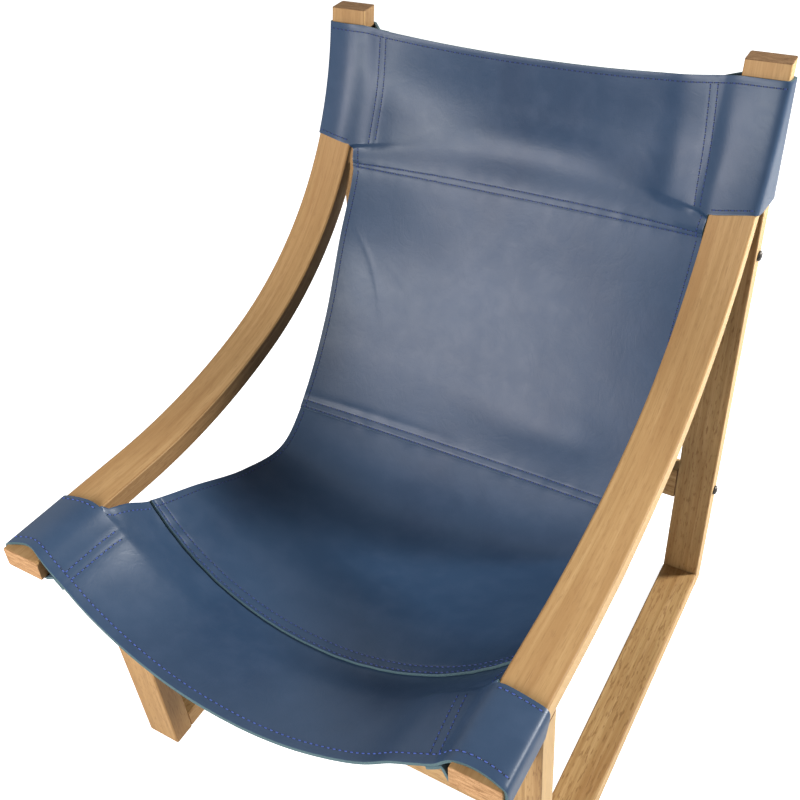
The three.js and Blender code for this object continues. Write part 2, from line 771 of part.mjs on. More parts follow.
function acrossMirror(pair) {
  const flip = (point) => new THREE.Vector3(-point.x, point.y, point.z);
  return { upper: flip(pair.upper), lower: flip(pair.lower) };
}

// Closed slab over the cells of a grid of upper and lower points
function slabSolid(rows) {
  const points = [];
  const numbers = rows.map((row) => row.map((pair) => {
    if (!pair) {
      return null;
    }
    points.push(pair.upper, pair.lower);
    return points.length - 2;
  }));
  const cellAt = (row, column) => {
    const corners = [
      numbers[row]?.[column],
      numbers[row]?.[column + 1],
      numbers[row + 1]?.[column + 1],
      numbers[row + 1]?.[column],
    ];
    return corners.every((corner) => corner !== null && corner !== undefined) ? corners : null;
  };
  const triangles = [];
  const quad = (a, b, c, d) => triangles.push([a, b, c], [a, c, d]);
  for (let row = 0; row < rows.length - 1; row += 1) {
    for (let column = 0; column < rows[0].length - 1; column += 1) {
      const cell = cellAt(row, column);
      if (!cell) {
        continue;
      }
      const [a, b, c, d] = cell;
      quad(a, d, c, b);
      quad(a + 1, b + 1, c + 1, d + 1);
      if (!cellAt(row - 1, column)) {
        quad(a, b, b + 1, a + 1);
      }
      if (!cellAt(row + 1, column)) {
        quad(c, d, d + 1, c + 1);
      }
      if (!cellAt(row, column - 1)) {
        quad(d, a, a + 1, d + 1);
      }
      if (!cellAt(row, column + 1)) {
        quad(b, c, c + 1, b + 1);
      }
    }
  }
  return orientedSolid(points, triangles);
}

const ACROSS_CELLS = 16;

// A panel of the sling between two stations, with loops where loopAt returns them
function panelSolid(stations, endStation, loopAt, loopColumns) {
  const rows = stations.map((station) => {
    const body = [];
    for (let cell = 0; cell <= ACROSS_CELLS; cell += 1) {
      body.push(panelPair(station, cell / ACROSS_CELLS * 2 - 1, endStation));
    }
    const loop = loopAt(station) ?? new Array(loopColumns).fill(null);
    const left = loop.map((pair) => pair && acrossMirror(pair)).reverse();
    return [...left, ...body, ...loop];
  });
  return slabSolid(rows);
}

// Evenly spread values between two, both included
function spread(from, to, count) {
  return Array.from({ length: count + 1 }, (unused, index) => from + (to - from) * index / count);
}

function lapStart(seam) {
  return seam - stationStep(seam, SEAM_LAP);
}

// The last rows of a panel that laps over the next
function lapRows(seam) {
  const ramp = stationStep(seam, SEAM_RAMP);
  return [lapStart(seam) - ramp, lapStart(seam) - ramp / 2, lapStart(seam), seam];
}

const joints = sideJoints();
const rails = crossRails();

const armCut = withDowelHoles(armSolid(), [joints.leg_to_arm_dowel, joints.post_to_arm_dowel]);
addPair('arm', armCut, wood);
addPair('front_leg', legSolid(joints, rails.front_cross_rail), wood);
addPair('rear_post', postSolid(joints, rails), wood);
addPair('floor_rail', floorRailSolid(joints), wood);
for (const [name, rail] of Object.entries(rails)) {
  addPiece(name, toGeometry(crossRailSolid(rail)), wood());
  addPair(`${name}_bolt`, boltSolid(rail), steel);
  addPair(`${name}_barrel_nut`, barrelNut(rail), steel);
}
for (const [name, joint] of Object.entries(joints)) {
  addPair(`${name}_inner`, dowelSolid(joint, -1, 0), dowelWood);
  addPair(`${name}_outer`, dowelSolid(joint, 1, 0), dowelWood);
}

const topColumns = topLoopPairs(0).length;
const headRows = [
  ...spread(0, TOP_LOOP_END, 6),
  TOP_LOOP_END + SLING_TUCK_STATIONS_SHARE,
  ...lapRows(HEAD_SEAM),
];
const onTopLoop = (station) => (station <= TOP_LOOP_END ? topLoopPairs(station) : null);
addPiece('head_panel', toGeometry(panelSolid(headRows, HEAD_SEAM, onTopLoop, topColumns)), leather());

const noLoop = () => null;
const backRows = [
  lapStart(HEAD_SEAM),
  ...spread(HEAD_SEAM, lapRows(LUMBAR_SEAM)[0], 9).slice(0, -1),
  ...lapRows(LUMBAR_SEAM),
];
addPiece('back_panel', toGeometry(panelSolid(backRows, LUMBAR_SEAM, noLoop, 0)), leather());

const seatRows = [
  lapStart(LUMBAR_SEAM),
  ...spread(LUMBAR_SEAM, lapRows(SEAT_SEAM)[0], 12).slice(0, -1),
  ...lapRows(SEAT_SEAM),
];
addPiece('seat_panel', toGeometry(panelSolid(seatRows, SEAT_SEAM, noLoop, 0)), leather());

const frontColumns = frontLoopPairs(FRONT_EDGE).length;
const frontRows = [
  lapStart(SEAT_SEAM),
  ...spread(SEAT_SEAM, FRONT_LOOP_START - SLING_TUCK_STATIONS_SHARE, 3),
  ...spread(FRONT_LOOP_START, FRONT_EDGE, 4),
];
const onFrontLoop = (station) => (station >= FRONT_LOOP_START ? frontLoopPairs(station) : null);
const frontSolid = panelSolid(frontRows, FRONT_EDGE, onFrontLoop, frontColumns);
addPiece('front_panel', toGeometry(frontSolid), leather());

export default chair;
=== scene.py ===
import bisect
import functools
import math

import bmesh
import bpy
from mathutils import Matrix, Vector, noise


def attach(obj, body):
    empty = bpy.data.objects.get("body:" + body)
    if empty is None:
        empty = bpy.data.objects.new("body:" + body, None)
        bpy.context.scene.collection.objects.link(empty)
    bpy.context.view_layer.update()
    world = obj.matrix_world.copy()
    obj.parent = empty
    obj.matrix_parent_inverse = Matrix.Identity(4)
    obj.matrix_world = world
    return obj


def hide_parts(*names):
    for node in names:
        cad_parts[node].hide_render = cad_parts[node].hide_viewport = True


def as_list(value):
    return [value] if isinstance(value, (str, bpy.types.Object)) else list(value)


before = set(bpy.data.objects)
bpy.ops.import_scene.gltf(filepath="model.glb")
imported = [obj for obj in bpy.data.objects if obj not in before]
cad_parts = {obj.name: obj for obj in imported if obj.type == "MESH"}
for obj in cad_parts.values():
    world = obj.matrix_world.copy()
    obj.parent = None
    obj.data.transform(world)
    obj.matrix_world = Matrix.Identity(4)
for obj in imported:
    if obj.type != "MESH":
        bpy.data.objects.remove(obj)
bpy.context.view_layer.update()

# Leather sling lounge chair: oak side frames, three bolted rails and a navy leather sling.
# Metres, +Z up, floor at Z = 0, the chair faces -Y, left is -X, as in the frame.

# Sizes of the frame, as in the solids

RIGHT, LEFT = 1, -1
HANDS = {RIGHT: "right", LEFT: "left"}

OVERALL_WIDTH = 0.670
MEMBER_WIDTH = 0.058
ARM_THICKNESS = 0.029
LEG_DEPTH = 0.035
FLOOR_RAIL_HEIGHT = 0.032
POST_DEPTH = 0.032
CROSS_RAIL_DEPTH = 0.032
CROSS_RAIL_HEIGHT = 0.058
EDGE_RADIUS = 0.003
END_EDGE_RADIUS = 0.0009
JOINT_GAP = 0.0003
POST_TIP = 0.003

ARM_FRONT_REACH = 0.412
ARM_FRONT_HEIGHT = 0.516
ARM_FRONT_SLOPE = math.radians(-2.3)
ARM_STRAIGHT_LENGTH = 0.198
ARM_SEAT_BEND_RADIUS = 0.860
ARM_SEAT_BEND_ANGLE = math.radians(18.2)
ARM_BACK_BEND_RADIUS = 0.480
ARM_BACK_BEND_ANGLE = math.radians(62.9)
LEG_INSET = 0.092
POST_LEAN = math.radians(3.16)
POST_JOINT_LENGTH = 0.123
LOWER_RAIL_HEIGHT = 0.214
UPPER_RAIL_DROP = 0.137
FRONT_RAIL_DROP = 0.203

BOLT_DIAMETER = 0.006
BOLT_HEAD_DIAMETER = 0.015
BOLT_HEAD_HEIGHT = 0.0045
BOLT_NUT_REACH = 0.032
BOLT_PAST_NUT = 0.004
NUT_DIAMETER = 0.010
NUT_LENGTH = 0.022
HOLE_CLEARANCE = 0.00035

# Sizes of the sling

LEATHER = 0.0035
LEATHER_GAP = 0.0003
LOOP_SLACK = 0.0009
SEAM_LAP = 0.016
TOP_LOOP_INSET = 0.020
TOP_LOOP_LENGTH = 0.176
TOP_LOOP_TILT = math.radians(10)
TOP_LOOP_TAPER = 0.010
TOP_FLAP_REACHES = {RIGHT: (0.0390, 0.0255), LEFT: (0.0390, 0.0390)}
FRONT_LOOP_INSET = 0.007
FRONT_LOOP_LENGTH = 0.101
FRONT_LOOP_TAPER = 0.019
FRONT_SCOOP = {LEFT: 0.0075, RIGHT: 0.0050}
FRONT_SHIFT = {LEFT: 0.0, RIGHT: -0.0040}
FRONT_FLAP_REACHES = {RIGHT: (0.0435, 0.0300), LEFT: (0.0370, 0.0370)}
FLAP_STITCH_WIDTH = 0.014
SLING_EDGE_CLEARANCE = 0.001
SLING_EDGE_TUCK = 0.004
SLING_EDGE_TUCK_DEPTH = 0.006
TUCK_STATIONS = 0.12
TUCK_FADE_STATIONS = 0.7
SLING_DROP = 0.285
SLING_SAG = 0.110
FLATTER_MIDDLE = 0.156
RIGHT_EDGE_TUCK = 0.0004
RIGHT_NARROWING = 0.08
TUCK_POWER = 14
STATION_STEP = 0.001

ARM_INNER = OVERALL_WIDTH / 2 - MEMBER_WIDTH
ARM_OUTER = OVERALL_WIDTH / 2
ARM_MIDDLE = (ARM_INNER + ARM_OUTER) / 2
SLING_HALF_WIDTH = ARM_INNER - SLING_EDGE_CLEARANCE

# Stations run down the sling from its top edge, 0, to its front edge. Between the loops each has
# the side edge's way along, its drop and narrowing, and the middle's sag and direction, as shares.
FREE_STATIONS = [
    (0.991, 0.106, 0.033, 0.411, 0.668),
    (0.889, 0.365, 0.077, 0.421, 0.606),
    (0.784, 0.671, 0.087, 0.375, 0.585),
    (0.636, 0.949, 0.073, 0.340, 0.501),
    (0.539, 0.983, 0.101, 0.420, 0.136),
    (0.391, 0.780, 0.096, 0.619, 0.000),
    (0.231, 0.472, 0.066, 0.828, -0.084),
    (0.109, 0.247, 0.030, 1.067, -0.177),
]
# Sag and direction at the stations of the loops
TOP_LOOP_SAGS = [(0.281, 0.443), (0.397, 0.749), (0.634, 1.042)]
FRONT_LOOP_SAGS = [(1.284, -0.100), (0.940, -0.150)]

TOP_LOOP_END = len(TOP_LOOP_SAGS) - 1
HEAD_SEAM = TOP_LOOP_END + 1
LUMBAR_SEAM = HEAD_SEAM + 3
SEAT_SEAM = TOP_LOOP_END + len(FREE_STATIONS)
FRONT_LOOP_START = SEAT_SEAM + 1
FRONT_EDGE = FRONT_LOOP_START + 1


def smoothstep(value, low, high):
    share = min(max((value - low) / (high - low), 0.0), 1.0)
    return share * share * (3 - 2 * share)


def bell(distance, width):
    """Bell curve, 1 at the middle and fading over the width."""
    return math.exp(-(distance / width) ** 2)


def spread(low, high, count):
    """Evenly spread values between two, both included."""
    return [low + (high - low) * step / count for step in range(count + 1)]


# The arm's curve

ARM_BENDS = [
    (ARM_STRAIGHT_LENGTH, None),
    (ARM_SEAT_BEND_RADIUS * ARM_SEAT_BEND_ANGLE, ARM_SEAT_BEND_RADIUS),
    (ARM_BACK_BEND_RADIUS * ARM_BACK_BEND_ANGLE, ARM_BACK_BEND_RADIUS),
]
ARM_LENGTH = sum(length for length, radius in ARM_BENDS)


@functools.lru_cache(maxsize=None)
def arm_place(distance):
    """Place (y, z, slope) of the arm's upper face at a distance from its front end."""
    y, z, slope = -ARM_FRONT_REACH, ARM_FRONT_HEIGHT, ARM_FRONT_SLOPE
    left = distance
    for number, (length, radius) in enumerate(ARM_BENDS):
        part = left if number == len(ARM_BENDS) - 1 else min(left, length)
        if radius is None:
            y += part * math.cos(slope)
            z += part * math.sin(slope)
        else:
            turned = slope + part / radius
            y += radius * (math.sin(turned) - math.sin(slope))
            z += radius * (math.cos(slope) - math.cos(turned))
            slope = turned
        left -= part
        if left <= 0:
            break
    return y, z, slope


def above(x, place, rise):
    """Point above (or, if negative, below) the arm's upper face, square to it."""
    y, z, slope = place
    return Vector((x, y - rise * math.sin(slope), z + rise * math.cos(slope)))


def arm_up(place):
    return above(0, place, 1) - above(0, place, 0)


def arm_back_at(distance):
    return above(0, arm_place(distance), -ARM_THICKNESS)


HALVINGS = 40


def halved(low, high, is_low):
    """The value between two at which is_low turns false."""
    for _ in range(HALVINGS):
        middle = (low + high) / 2
        if is_low(middle):
            low = middle
        else:
            high = middle
    return low


def arm_back_depth(height):
    """Depth y of the arm's back face at a height on the back bend."""
    return arm_back_at(halved(ARM_STRAIGHT_LENGTH, ARM_LENGTH, lambda d: arm_back_at(d).z < height)).y


POST_JOINT = arm_back_at(ARM_LENGTH - POST_JOINT_LENGTH)
LEG_FRONT = LEG_INSET - ARM_FRONT_REACH
POST_BACK_OFFSET = POST_DEPTH / math.cos(POST_LEAN)


def post_front(height):
    return POST_JOINT.y - (POST_JOINT.z - height) * math.tan(POST_LEAN)


def post_back(height):
    return post_front(height) + POST_BACK_OFFSET


def post_is_thick(distance):
    back = arm_back_at(distance)
    return post_back(back.z) - back.y > POST_TIP


POST_TOP = arm_back_at(halved(ARM_LENGTH - POST_JOINT_LENGTH, ARM_LENGTH, post_is_thick)).z

# Middle of each cross rail's section and its lean
UPPER_RAIL_HEIGHT = POST_JOINT.z - UPPER_RAIL_DROP
CROSS_RAILS = {
    "upper_back_rail": (
        post_front(UPPER_RAIL_HEIGHT) + POST_BACK_OFFSET / 2,
        UPPER_RAIL_HEIGHT,
        POST_LEAN,
    ),
    "lower_back_rail": (
        post_front(LOWER_RAIL_HEIGHT) + POST_BACK_OFFSET / 2,
        LOWER_RAIL_HEIGHT,
        POST_LEAN,
    ),
    "front_cross_rail": (
        LEG_FRONT + CROSS_RAIL_DEPTH / 2,
        ARM_FRONT_HEIGHT - FRONT_RAIL_DROP,
        0.0,
    ),
}

# Material helpers


def linear(red, green, blue):
    """Colour as written in picture values from 0 to 255."""
    def channel(value):
        share = value / 255
        return share / 12.92 if share <= 0.04045 else ((share + 0.055) / 1.055) ** 2.4
    return channel(red), channel(green), channel(blue), 1.0


class Nodes:
    """Nodes that make a material or light the room."""

    def __init__(self, tree):
        self.tree = tree

    def node(self, kind, inputs=None, **settings):
        made = self.tree.nodes.new(kind)
        for name, value in settings.items():
            setattr(made, name, value)
        for name, value in (inputs or {}).items():
            self.feed(made.inputs[name], value)
        return made

    def feed(self, socket, value):
        if isinstance(value, bpy.types.NodeSocket):
            self.tree.links.new(value, socket)
        else:
            socket.default_value = value

    def maths(self, how, first, second):
        made = self.node("ShaderNodeMath", operation=how)
        self.feed(made.inputs[0], first)
        self.feed(made.inputs[1], second)
        return made.outputs["Value"]

    def either(self, share, first, second):
        """The first shader, or the second by a share."""
        made = self.node("ShaderNodeMixShader")
        for socket, value in zip(made.inputs, (share, first, second)):
            self.feed(socket, value)
        return made.outputs["Shader"]


class Finish(Nodes):
    """A material and its own nodes."""

    def __init__(self, name):
        self.material = bpy.data.materials.new(name)
        self.material.use_nodes = True
        super().__init__(self.material.node_tree)
        self.shader = self.tree.nodes["Principled BSDF"]
        self.output = self.tree.nodes["Material Output"]

    def set(self, **values):
        for name, value in values.items():
            self.shader.inputs[name.replace("_", " ")].default_value = value

    def vary(self, **values):
        """Feeds the shader from other nodes."""
        for name, value in values.items():
            self.feed(self.shader.inputs[name.replace("_", " ")], value)

    def place(self, scale=(1, 1, 1), attribute=None):
        """Coordinates of the piece itself, or its own attribute, stretched."""
        if attribute:
            source = self.node("ShaderNodeAttribute", attribute_name=attribute).outputs["Vector"]
        else:
            source = self.node("ShaderNodeTexCoord").outputs["Object"]
        return self.node("ShaderNodeMapping", {"Vector": source, "Scale": scale}).outputs["Vector"]

    def clouds(self, vector, scale, detail=3.0, rough=0.5, distortion=0.0):
        return self.node("ShaderNodeTexNoise", {
            "Vector": vector, "Scale": scale, "Detail": detail,
            "Roughness": rough, "Distortion": distortion,
        }).outputs["Fac"]

    def ramp(self, value, stops):
        """Colours or grey levels by value; stops are (place, colour or level)."""
        made = self.node("ShaderNodeValToRGB", {"Fac": value})
        elements = made.color_ramp.elements
        while len(elements) < len(stops):
            elements.new(0.5)
        for element, (at, colour) in zip(elements, stops):
            element.position = at
            element.color = colour if isinstance(colour, tuple) else (colour,) * 3 + (1.0,)
        return made.outputs["Color"]

    def mix(self, share, first, second):
        """The first colour, or the second by a share."""
        made = self.node("ShaderNodeMix", data_type="RGBA")
        for socket, value in zip(self.colour_sockets(made), (share, first, second)):
            self.feed(socket, value)
        return made.outputs[2]

    def colour_sockets(self, mix_node):
        """Share and both colours: a mix node has sockets for other kinds of value as well."""
        return [mix_node.inputs[number] for number in (0, 6, 7)]

    def band(self, value, low, high):
        """Value moved from 0..1 to low..high."""
        return self.node("ShaderNodeMapRange", {
            "Value": value, "To Min": low, "To Max": high,
        }).outputs["Result"]

    def relief(self, layers):
        """Bump from several heights; layers are (height, distance, strength)."""
        normal = None
        for height, distance, strength in layers:
            inputs = {"Height": height, "Distance": distance, "Strength": strength}
            if normal is not None:
                inputs["Normal"] = normal
            normal = self.node("ShaderNodeBump", inputs).outputs["Normal"]
        self.vary(Normal=normal)


# Wood

GRAIN = "grain"
GLUED_LAYER = 0.0058


def make_wood(name, layered=False, painted_side_tint=None, painted_side_tint_share=0.0, fleck_share=0.65):
    """Straight-grained oiled oak: Z of the grain attribute runs along the fibres, and Y through
    the glued layers of a bent piece. A side tint paints light on a bar's outer side, which it makes
    paler, and paints shade on its inner side, which it makes darker."""
    finish = Finish(name)
    fibre = finish.place(scale=(190, 190, 3.4), attribute=GRAIN)
    figure = finish.place(scale=(42, 24, 3.2), attribute=GRAIN)
    pore = finish.place(scale=(1100, 1100, 34), attribute=GRAIN)
    fleck = finish.place(scale=(330, 330, 60), attribute=GRAIN)
    board = finish.place(scale=(6, 6, 2.2), attribute=GRAIN)
    streaks = finish.clouds(fibre, 1.0, detail=5, rough=0.6, distortion=0.2)
    bands = finish.clouds(figure, 1.0, detail=3, rough=0.5, distortion=0.7)
    pores = finish.clouds(pore, 1.0, detail=2, rough=0.5)
    tone = finish.clouds(board, 1.0, detail=2)
    flecks = finish.clouds(fleck, 1.0, detail=2, rough=0.5)
    pale = finish.ramp(streaks, [
        (0.30, linear(149, 115, 71)), (0.50, linear(170, 136, 89)), (0.68, linear(186, 152, 105)),
    ])
    figured = finish.mix(
        finish.ramp(bands, [(0.36, 0.55), (0.56, 0.0)]), pale, linear(138, 98, 54)
    )
    figured = finish.mix(
        finish.ramp(flecks, [(0.34, fleck_share), (0.44, 0.0)]), figured, linear(122, 86, 50)
    )
    toned = finish.mix(
        finish.ramp(tone, [(0.35, 0.0), (0.7, 0.35)]), figured, linear(188, 146, 96)
    )
    colour = finish.mix(
        finish.ramp(pores, [(0.30, 0.35), (0.42, 0.0)]), toned, linear(96, 66, 38)
    )
    if layered:
        through = finish.node(
            "ShaderNodeSeparateXYZ",
            {"Vector": finish.node("ShaderNodeAttribute", attribute_name=GRAIN).outputs["Vector"]},
        ).outputs["Y"]
        count = finish.maths("DIVIDE", through, GLUED_LAYER)
        layer = finish.node("ShaderNodeTexWhiteNoise", {
            "W": finish.maths("FLOOR", count, 0.0),
        }, noise_dimensions="1D").outputs["Value"]
        colour = finish.mix(
            finish.maths("MULTIPLY", layer, 0.30), colour, linear(206, 168, 120)
        )
        glue = finish.ramp(finish.maths("PINGPONG", count, 0.5), [(0.0, 0.55), (0.06, 0.0)])
        colour = finish.mix(glue, colour, linear(120, 84, 50))
    # Painted side light: a pale tint for lit outer sides, a dark tint for shaded inner sides
    if painted_side_tint:
        colour = finish.mix(painted_side_tint_share, colour, painted_side_tint)
    finish.vary(Base_Color=colour, Roughness=finish.band(streaks, 0.42, 0.62))
    finish.set(Specular_IOR_Level=0.18)
    finish.relief([(streaks, 0.0006, 0.16), (pores, 0.0002, 0.35)])
    return finish.material


def make_end_grain(name, brightness):
    """Sawn ends: rings seen across the fibres, darker where the oil soaked in. The brightness scales all
    their colours, to paint light or shade on a copy.
    """
    finish = Finish(name)

    def shade(red, green, blue):
        return linear(red * brightness, green * brightness, blue * brightness)

    across = finish.place(scale=(60, 300, 60), attribute=GRAIN)
    pore = finish.place(scale=(900, 900, 900), attribute=GRAIN)
    rings = finish.clouds(across, 1.0, detail=4, rough=0.6, distortion=0.6)
    pores = finish.clouds(pore, 1.0, detail=2)
    base = finish.ramp(rings, [
        (0.35, shade(130, 98, 66)), (0.5, shade(154, 119, 83)), (0.66, shade(170, 135, 97)),
    ])
    finish.vary(Base_Color=finish.mix(
        finish.ramp(pores, [(0.32, 0.5), (0.45, 0.0)]), base, linear(84, 56, 34)
    ))
    finish.set(Roughness=0.7, Specular_IOR_Level=0.12)
    finish.relief([(rings, 0.0004, 0.2), (pores, 0.0002, 0.4)])
    return finish.material


# Bars of wood

BAR_EDGE_STEPS = 4
END_EDGE_STEPS = 2
STRAIGHT_RINGS = 4
POST_RINGS = 80
ARM_RINGS = 110

# From one bar to the next, each is cut from another part of the board
GRAIN_SHIFT = Vector((0.31, 0.17, 2.3))

# Which material of a bar each face takes
FACE, LOW_END, HIGH_END, OUTER_SIDE, INNER_SIDE = range(5)


def finished(mesh, name, materials, replaces=()):
    """Smooth object of a mesh that holds its own place, riding on the root body."""
    data = bpy.data.meshes.new(name)
    mesh.to_mesh(data)
    mesh.free()
    for material in materials:
        data.materials.append(material)
    data.polygons.foreach_set("use_smooth", [True] * len(data.polygons))
    piece = bpy.data.objects.new(name, data)
    bpy.context.scene.collection.objects.link(piece)
    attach(piece, "root")
    if replaces:
        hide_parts(*replaces)
    return piece


def even_normals(piece):
    """Keeps wide flat faces flat beside their rounded edges."""
    modifier = piece.modifiers.new("flat faces", "WEIGHTED_NORMAL")
    modifier.mode = "FACE_AREA"
    modifier.weight = 60
    modifier.keep_sharp = True


def bar_mesh(width, depth, length, rings, place, number):
    """Bar with eased edges, cut into rings; place gives each point's place from its
    x across, y through and distance along the straight bar. Its number picks the grain."""
    mesh = bmesh.new()
    bmesh.ops.create_cube(mesh, size=1.0)
    bmesh.ops.scale(mesh, vec=(width, depth, length), verts=mesh.verts)
    bmesh.ops.translate(mesh, vec=(0, 0, length / 2), verts=mesh.verts)

    def along(edge):
        return abs(edge.verts[0].co.z - edge.verts[1].co.z)

    bmesh.ops.bevel(
        mesh, geom=[edge for edge in mesh.edges if along(edge) > length / 2],
        offset=EDGE_RADIUS, offset_type="OFFSET", affect="EDGES",
        segments=BAR_EDGE_STEPS, profile=0.5, material=-1,
    )
    bmesh.ops.bevel(
        mesh, geom=[edge for edge in mesh.edges if along(edge) < length / 2],
        offset=END_EDGE_RADIUS, offset_type="OFFSET", affect="EDGES",
        segments=END_EDGE_STEPS, profile=0.5, material=-1,
    )
    if rings > 1:
        bmesh.ops.subdivide_edges(
            mesh, edges=[edge for edge in mesh.edges if along(edge) > length / 2],
            cuts=rings - 1,
        )
    for face in mesh.faces:
        heights = [vertex.co.z for vertex in face.verts]
        sides = [vertex.co.x for vertex in face.verts]
        if max(heights) < EDGE_RADIUS / 2:
            face.material_index = LOW_END
        elif min(heights) > length - EDGE_RADIUS / 2:
            face.material_index = HIGH_END
        elif min(sides) > width / 2 - EDGE_RADIUS / 4:
            face.material_index = OUTER_SIDE
        elif max(sides) < EDGE_RADIUS / 4 - width / 2:
            face.material_index = INNER_SIDE
    grain = mesh.verts.layers.float_vector.new(GRAIN)
    shift = GRAIN_SHIFT * number
    for vertex in mesh.verts:
        vertex[grain] = vertex.co + shift
        vertex.co = place(*vertex.co)
    bmesh.ops.recalc_face_normals(mesh, faces=mesh.faces)
    return mesh


# Painted side light: outer sides tinted paler, as lit, and inner sides tinted darker, as in shade
PAINTED_SIDE_LIGHT = linear(224, 192, 140)
PAINTED_SIDE_SHADE = linear(104, 74, 50)
# The same end grain twice: lower ends, the arms' fronts, painted lighter as lit, and upper ends painted
# darker as in shade
ends = [make_end_grain("oak_front_end_painted_light", 1.16), make_end_grain("oak_top_end_painted_shade", 0.88)]
wood = [make_wood("oiled_oak"), *ends]
wood += [make_wood("oak_outer_side_painted_light", painted_side_tint=PAINTED_SIDE_LIGHT, painted_side_tint_share=0.45)]
wood += [make_wood("oak_inner_side_painted_shade", painted_side_tint=PAINTED_SIDE_SHADE, painted_side_tint_share=0.35)]
bent_wood = [make_wood("layered_oak", layered=True, fleck_share=0.3), *ends]
bent_wood += [make_wood("layered_outer_side_painted_light", layered=True, painted_side_tint=PAINTED_SIDE_LIGHT, painted_side_tint_share=0.45)]
bent_wood += [make_wood("layered_inner_side_painted_shade", layered=True, painted_side_tint=PAINTED_SIDE_SHADE, painted_side_tint_share=0.45)]


# The arm's top end is sawn level, which slants it against the arm
LEVEL_CUT = math.tan(math.pi / 2 - arm_place(ARM_LENGTH)[2])
LEVEL_CUT_LENGTH = 0.03


def make_arm(side, number):
    def place(x, y, along):
        rise = y - ARM_THICKNESS / 2
        near_top = smoothstep(along, ARM_LENGTH - LEVEL_CUT_LENGTH, ARM_LENGTH)
        point = above(ARM_MIDDLE + x, arm_place(along - rise * LEVEL_CUT * near_top), rise)
        point.x *= side
        return point

    hand = HANDS[side]
    mesh = bar_mesh(MEMBER_WIDTH, ARM_THICKNESS, ARM_LENGTH, ARM_RINGS, place, number)
    even_normals(finished(mesh, f"bent_arm_{hand}", bent_wood, [f"arm_{hand}"]))


def make_leg(side, number):
    middle = LEG_FRONT + LEG_DEPTH / 2
    under = above(0, arm_place(LEG_INSET + LEG_DEPTH / 2), -ARM_THICKNESS)
    height = under.z + (middle - under.y) * math.tan(ARM_FRONT_SLOPE) - JOINT_GAP

    def place(x, y, along):
        top = height + y * math.tan(ARM_FRONT_SLOPE)
        return Vector((side * (ARM_MIDDLE + x), middle + y, along / height * top))

    hand = HANDS[side]
    mesh = bar_mesh(MEMBER_WIDTH, LEG_DEPTH, height, STRAIGHT_RINGS, place, number)
    even_normals(finished(mesh, f"upright_leg_{hand}", wood, [f"front_leg_{hand}"]))


def make_post(side, number):
    def place(x, y, along):
        back = post_back(along)
        front = post_front(along)
        if along > POST_JOINT.z - ARM_THICKNESS:
            front = max(front, arm_back_depth(along) + JOINT_GAP)
        share = y / POST_DEPTH + 0.5
        return Vector((side * (ARM_MIDDLE + x), front + (back - front) * share, along))

    hand = HANDS[side]
    mesh = bar_mesh(MEMBER_WIDTH, POST_DEPTH, POST_TOP, POST_RINGS, place, number)
    even_normals(finished(mesh, f"leaning_post_{hand}", wood, [f"rear_post_{hand}"]))


def make_floor_rail(side, number):
    start = LEG_FRONT + LEG_DEPTH + JOINT_GAP
    length = post_front(FLOOR_RAIL_HEIGHT) - JOINT_GAP - start

    def place(x, y, along):
        height = y + FLOOR_RAIL_HEIGHT / 2
        end = post_front(height) - JOINT_GAP
        return Vector((side * (ARM_MIDDLE + x), start + along / length * (end - start), height))

    hand = HANDS[side]
    mesh = bar_mesh(MEMBER_WIDTH, FLOOR_RAIL_HEIGHT, length, STRAIGHT_RINGS, place, number)
    even_normals(finished(mesh, f"ground_rail_{hand}", wood, [f"floor_rail_{hand}"]))


DRILL_SIDES = 32


def drilled(piece, drills):
    """Cuts round holes into a piece and leaves its mesh plain."""
    for centre, axis, radius, length in drills:
        mesh = bmesh.new()
        turn = Vector((0, 0, 1)).rotation_difference(axis).to_matrix().to_4x4()
        bmesh.ops.create_cone(
            mesh, cap_ends=True, segments=DRILL_SIDES, radius1=radius, radius2=radius, depth=length,
            matrix=Matrix.Translation(centre) @ turn,
        )
        data = bpy.data.meshes.new("drill")
        mesh.to_mesh(data)
        mesh.free()
        drill = bpy.data.objects.new("drill", data)
        bpy.context.scene.collection.objects.link(drill)
        cut = piece.modifiers.new("hole", "BOOLEAN")
        cut.object = drill
        cut.operation = "DIFFERENCE"
        cut.solver = "EXACT"
        ready = piece.evaluated_get(bpy.context.evaluated_depsgraph_get())
        holed = bpy.data.meshes.new_from_object(ready)
        piece.modifiers.clear()
        bare = piece.data
        piece.data = holed
        bpy.data.meshes.remove(bare)
        bpy.data.objects.remove(drill)
        bpy.data.meshes.remove(data)


def make_cross_rail(name, number):
    y_middle, z_middle, lean = CROSS_RAILS[name]
    length = 2 * (ARM_INNER - JOINT_GAP)
    turn = Matrix.Rotation(-lean, 3, "X")

    def place(x, y, along):
        return Vector((along - length / 2, y_middle, z_middle)) + turn @ Vector((0, y, x))

    mesh = bar_mesh(CROSS_RAIL_HEIGHT, CROSS_RAIL_DEPTH, length, 1, place, number)
    piece = finished(mesh, f"{name}_board", wood, [name])
    axis = turn @ Vector((0, 1, 0))
    depth = CROSS_RAIL_DEPTH / 2 + NUT_LENGTH / 2
    drills = []
    for side in (RIGHT, LEFT):
        nut = Vector((side * (ARM_INNER - JOINT_GAP - BOLT_NUT_REACH), y_middle, z_middle))
        centre = nut + axis * (CROSS_RAIL_DEPTH / 2 - depth / 2 + EDGE_RADIUS / 2)
        drills.append((centre, axis, NUT_DIAMETER / 2 + HOLE_CLEARANCE, depth + EDGE_RADIUS))
    drilled(piece, drills)
    even_normals(piece)


SIDE_BARS = (make_arm, make_leg, make_post, make_floor_rail)
bar_number = 0
for side in (RIGHT, LEFT):
    for make_bar in SIDE_BARS:
        bar_number += 1
        make_bar(side, bar_number)
for name in CROSS_RAILS:
    bar_number += 1
    make_cross_rail(name, bar_number)

# Bolts, barrel nuts and dowels


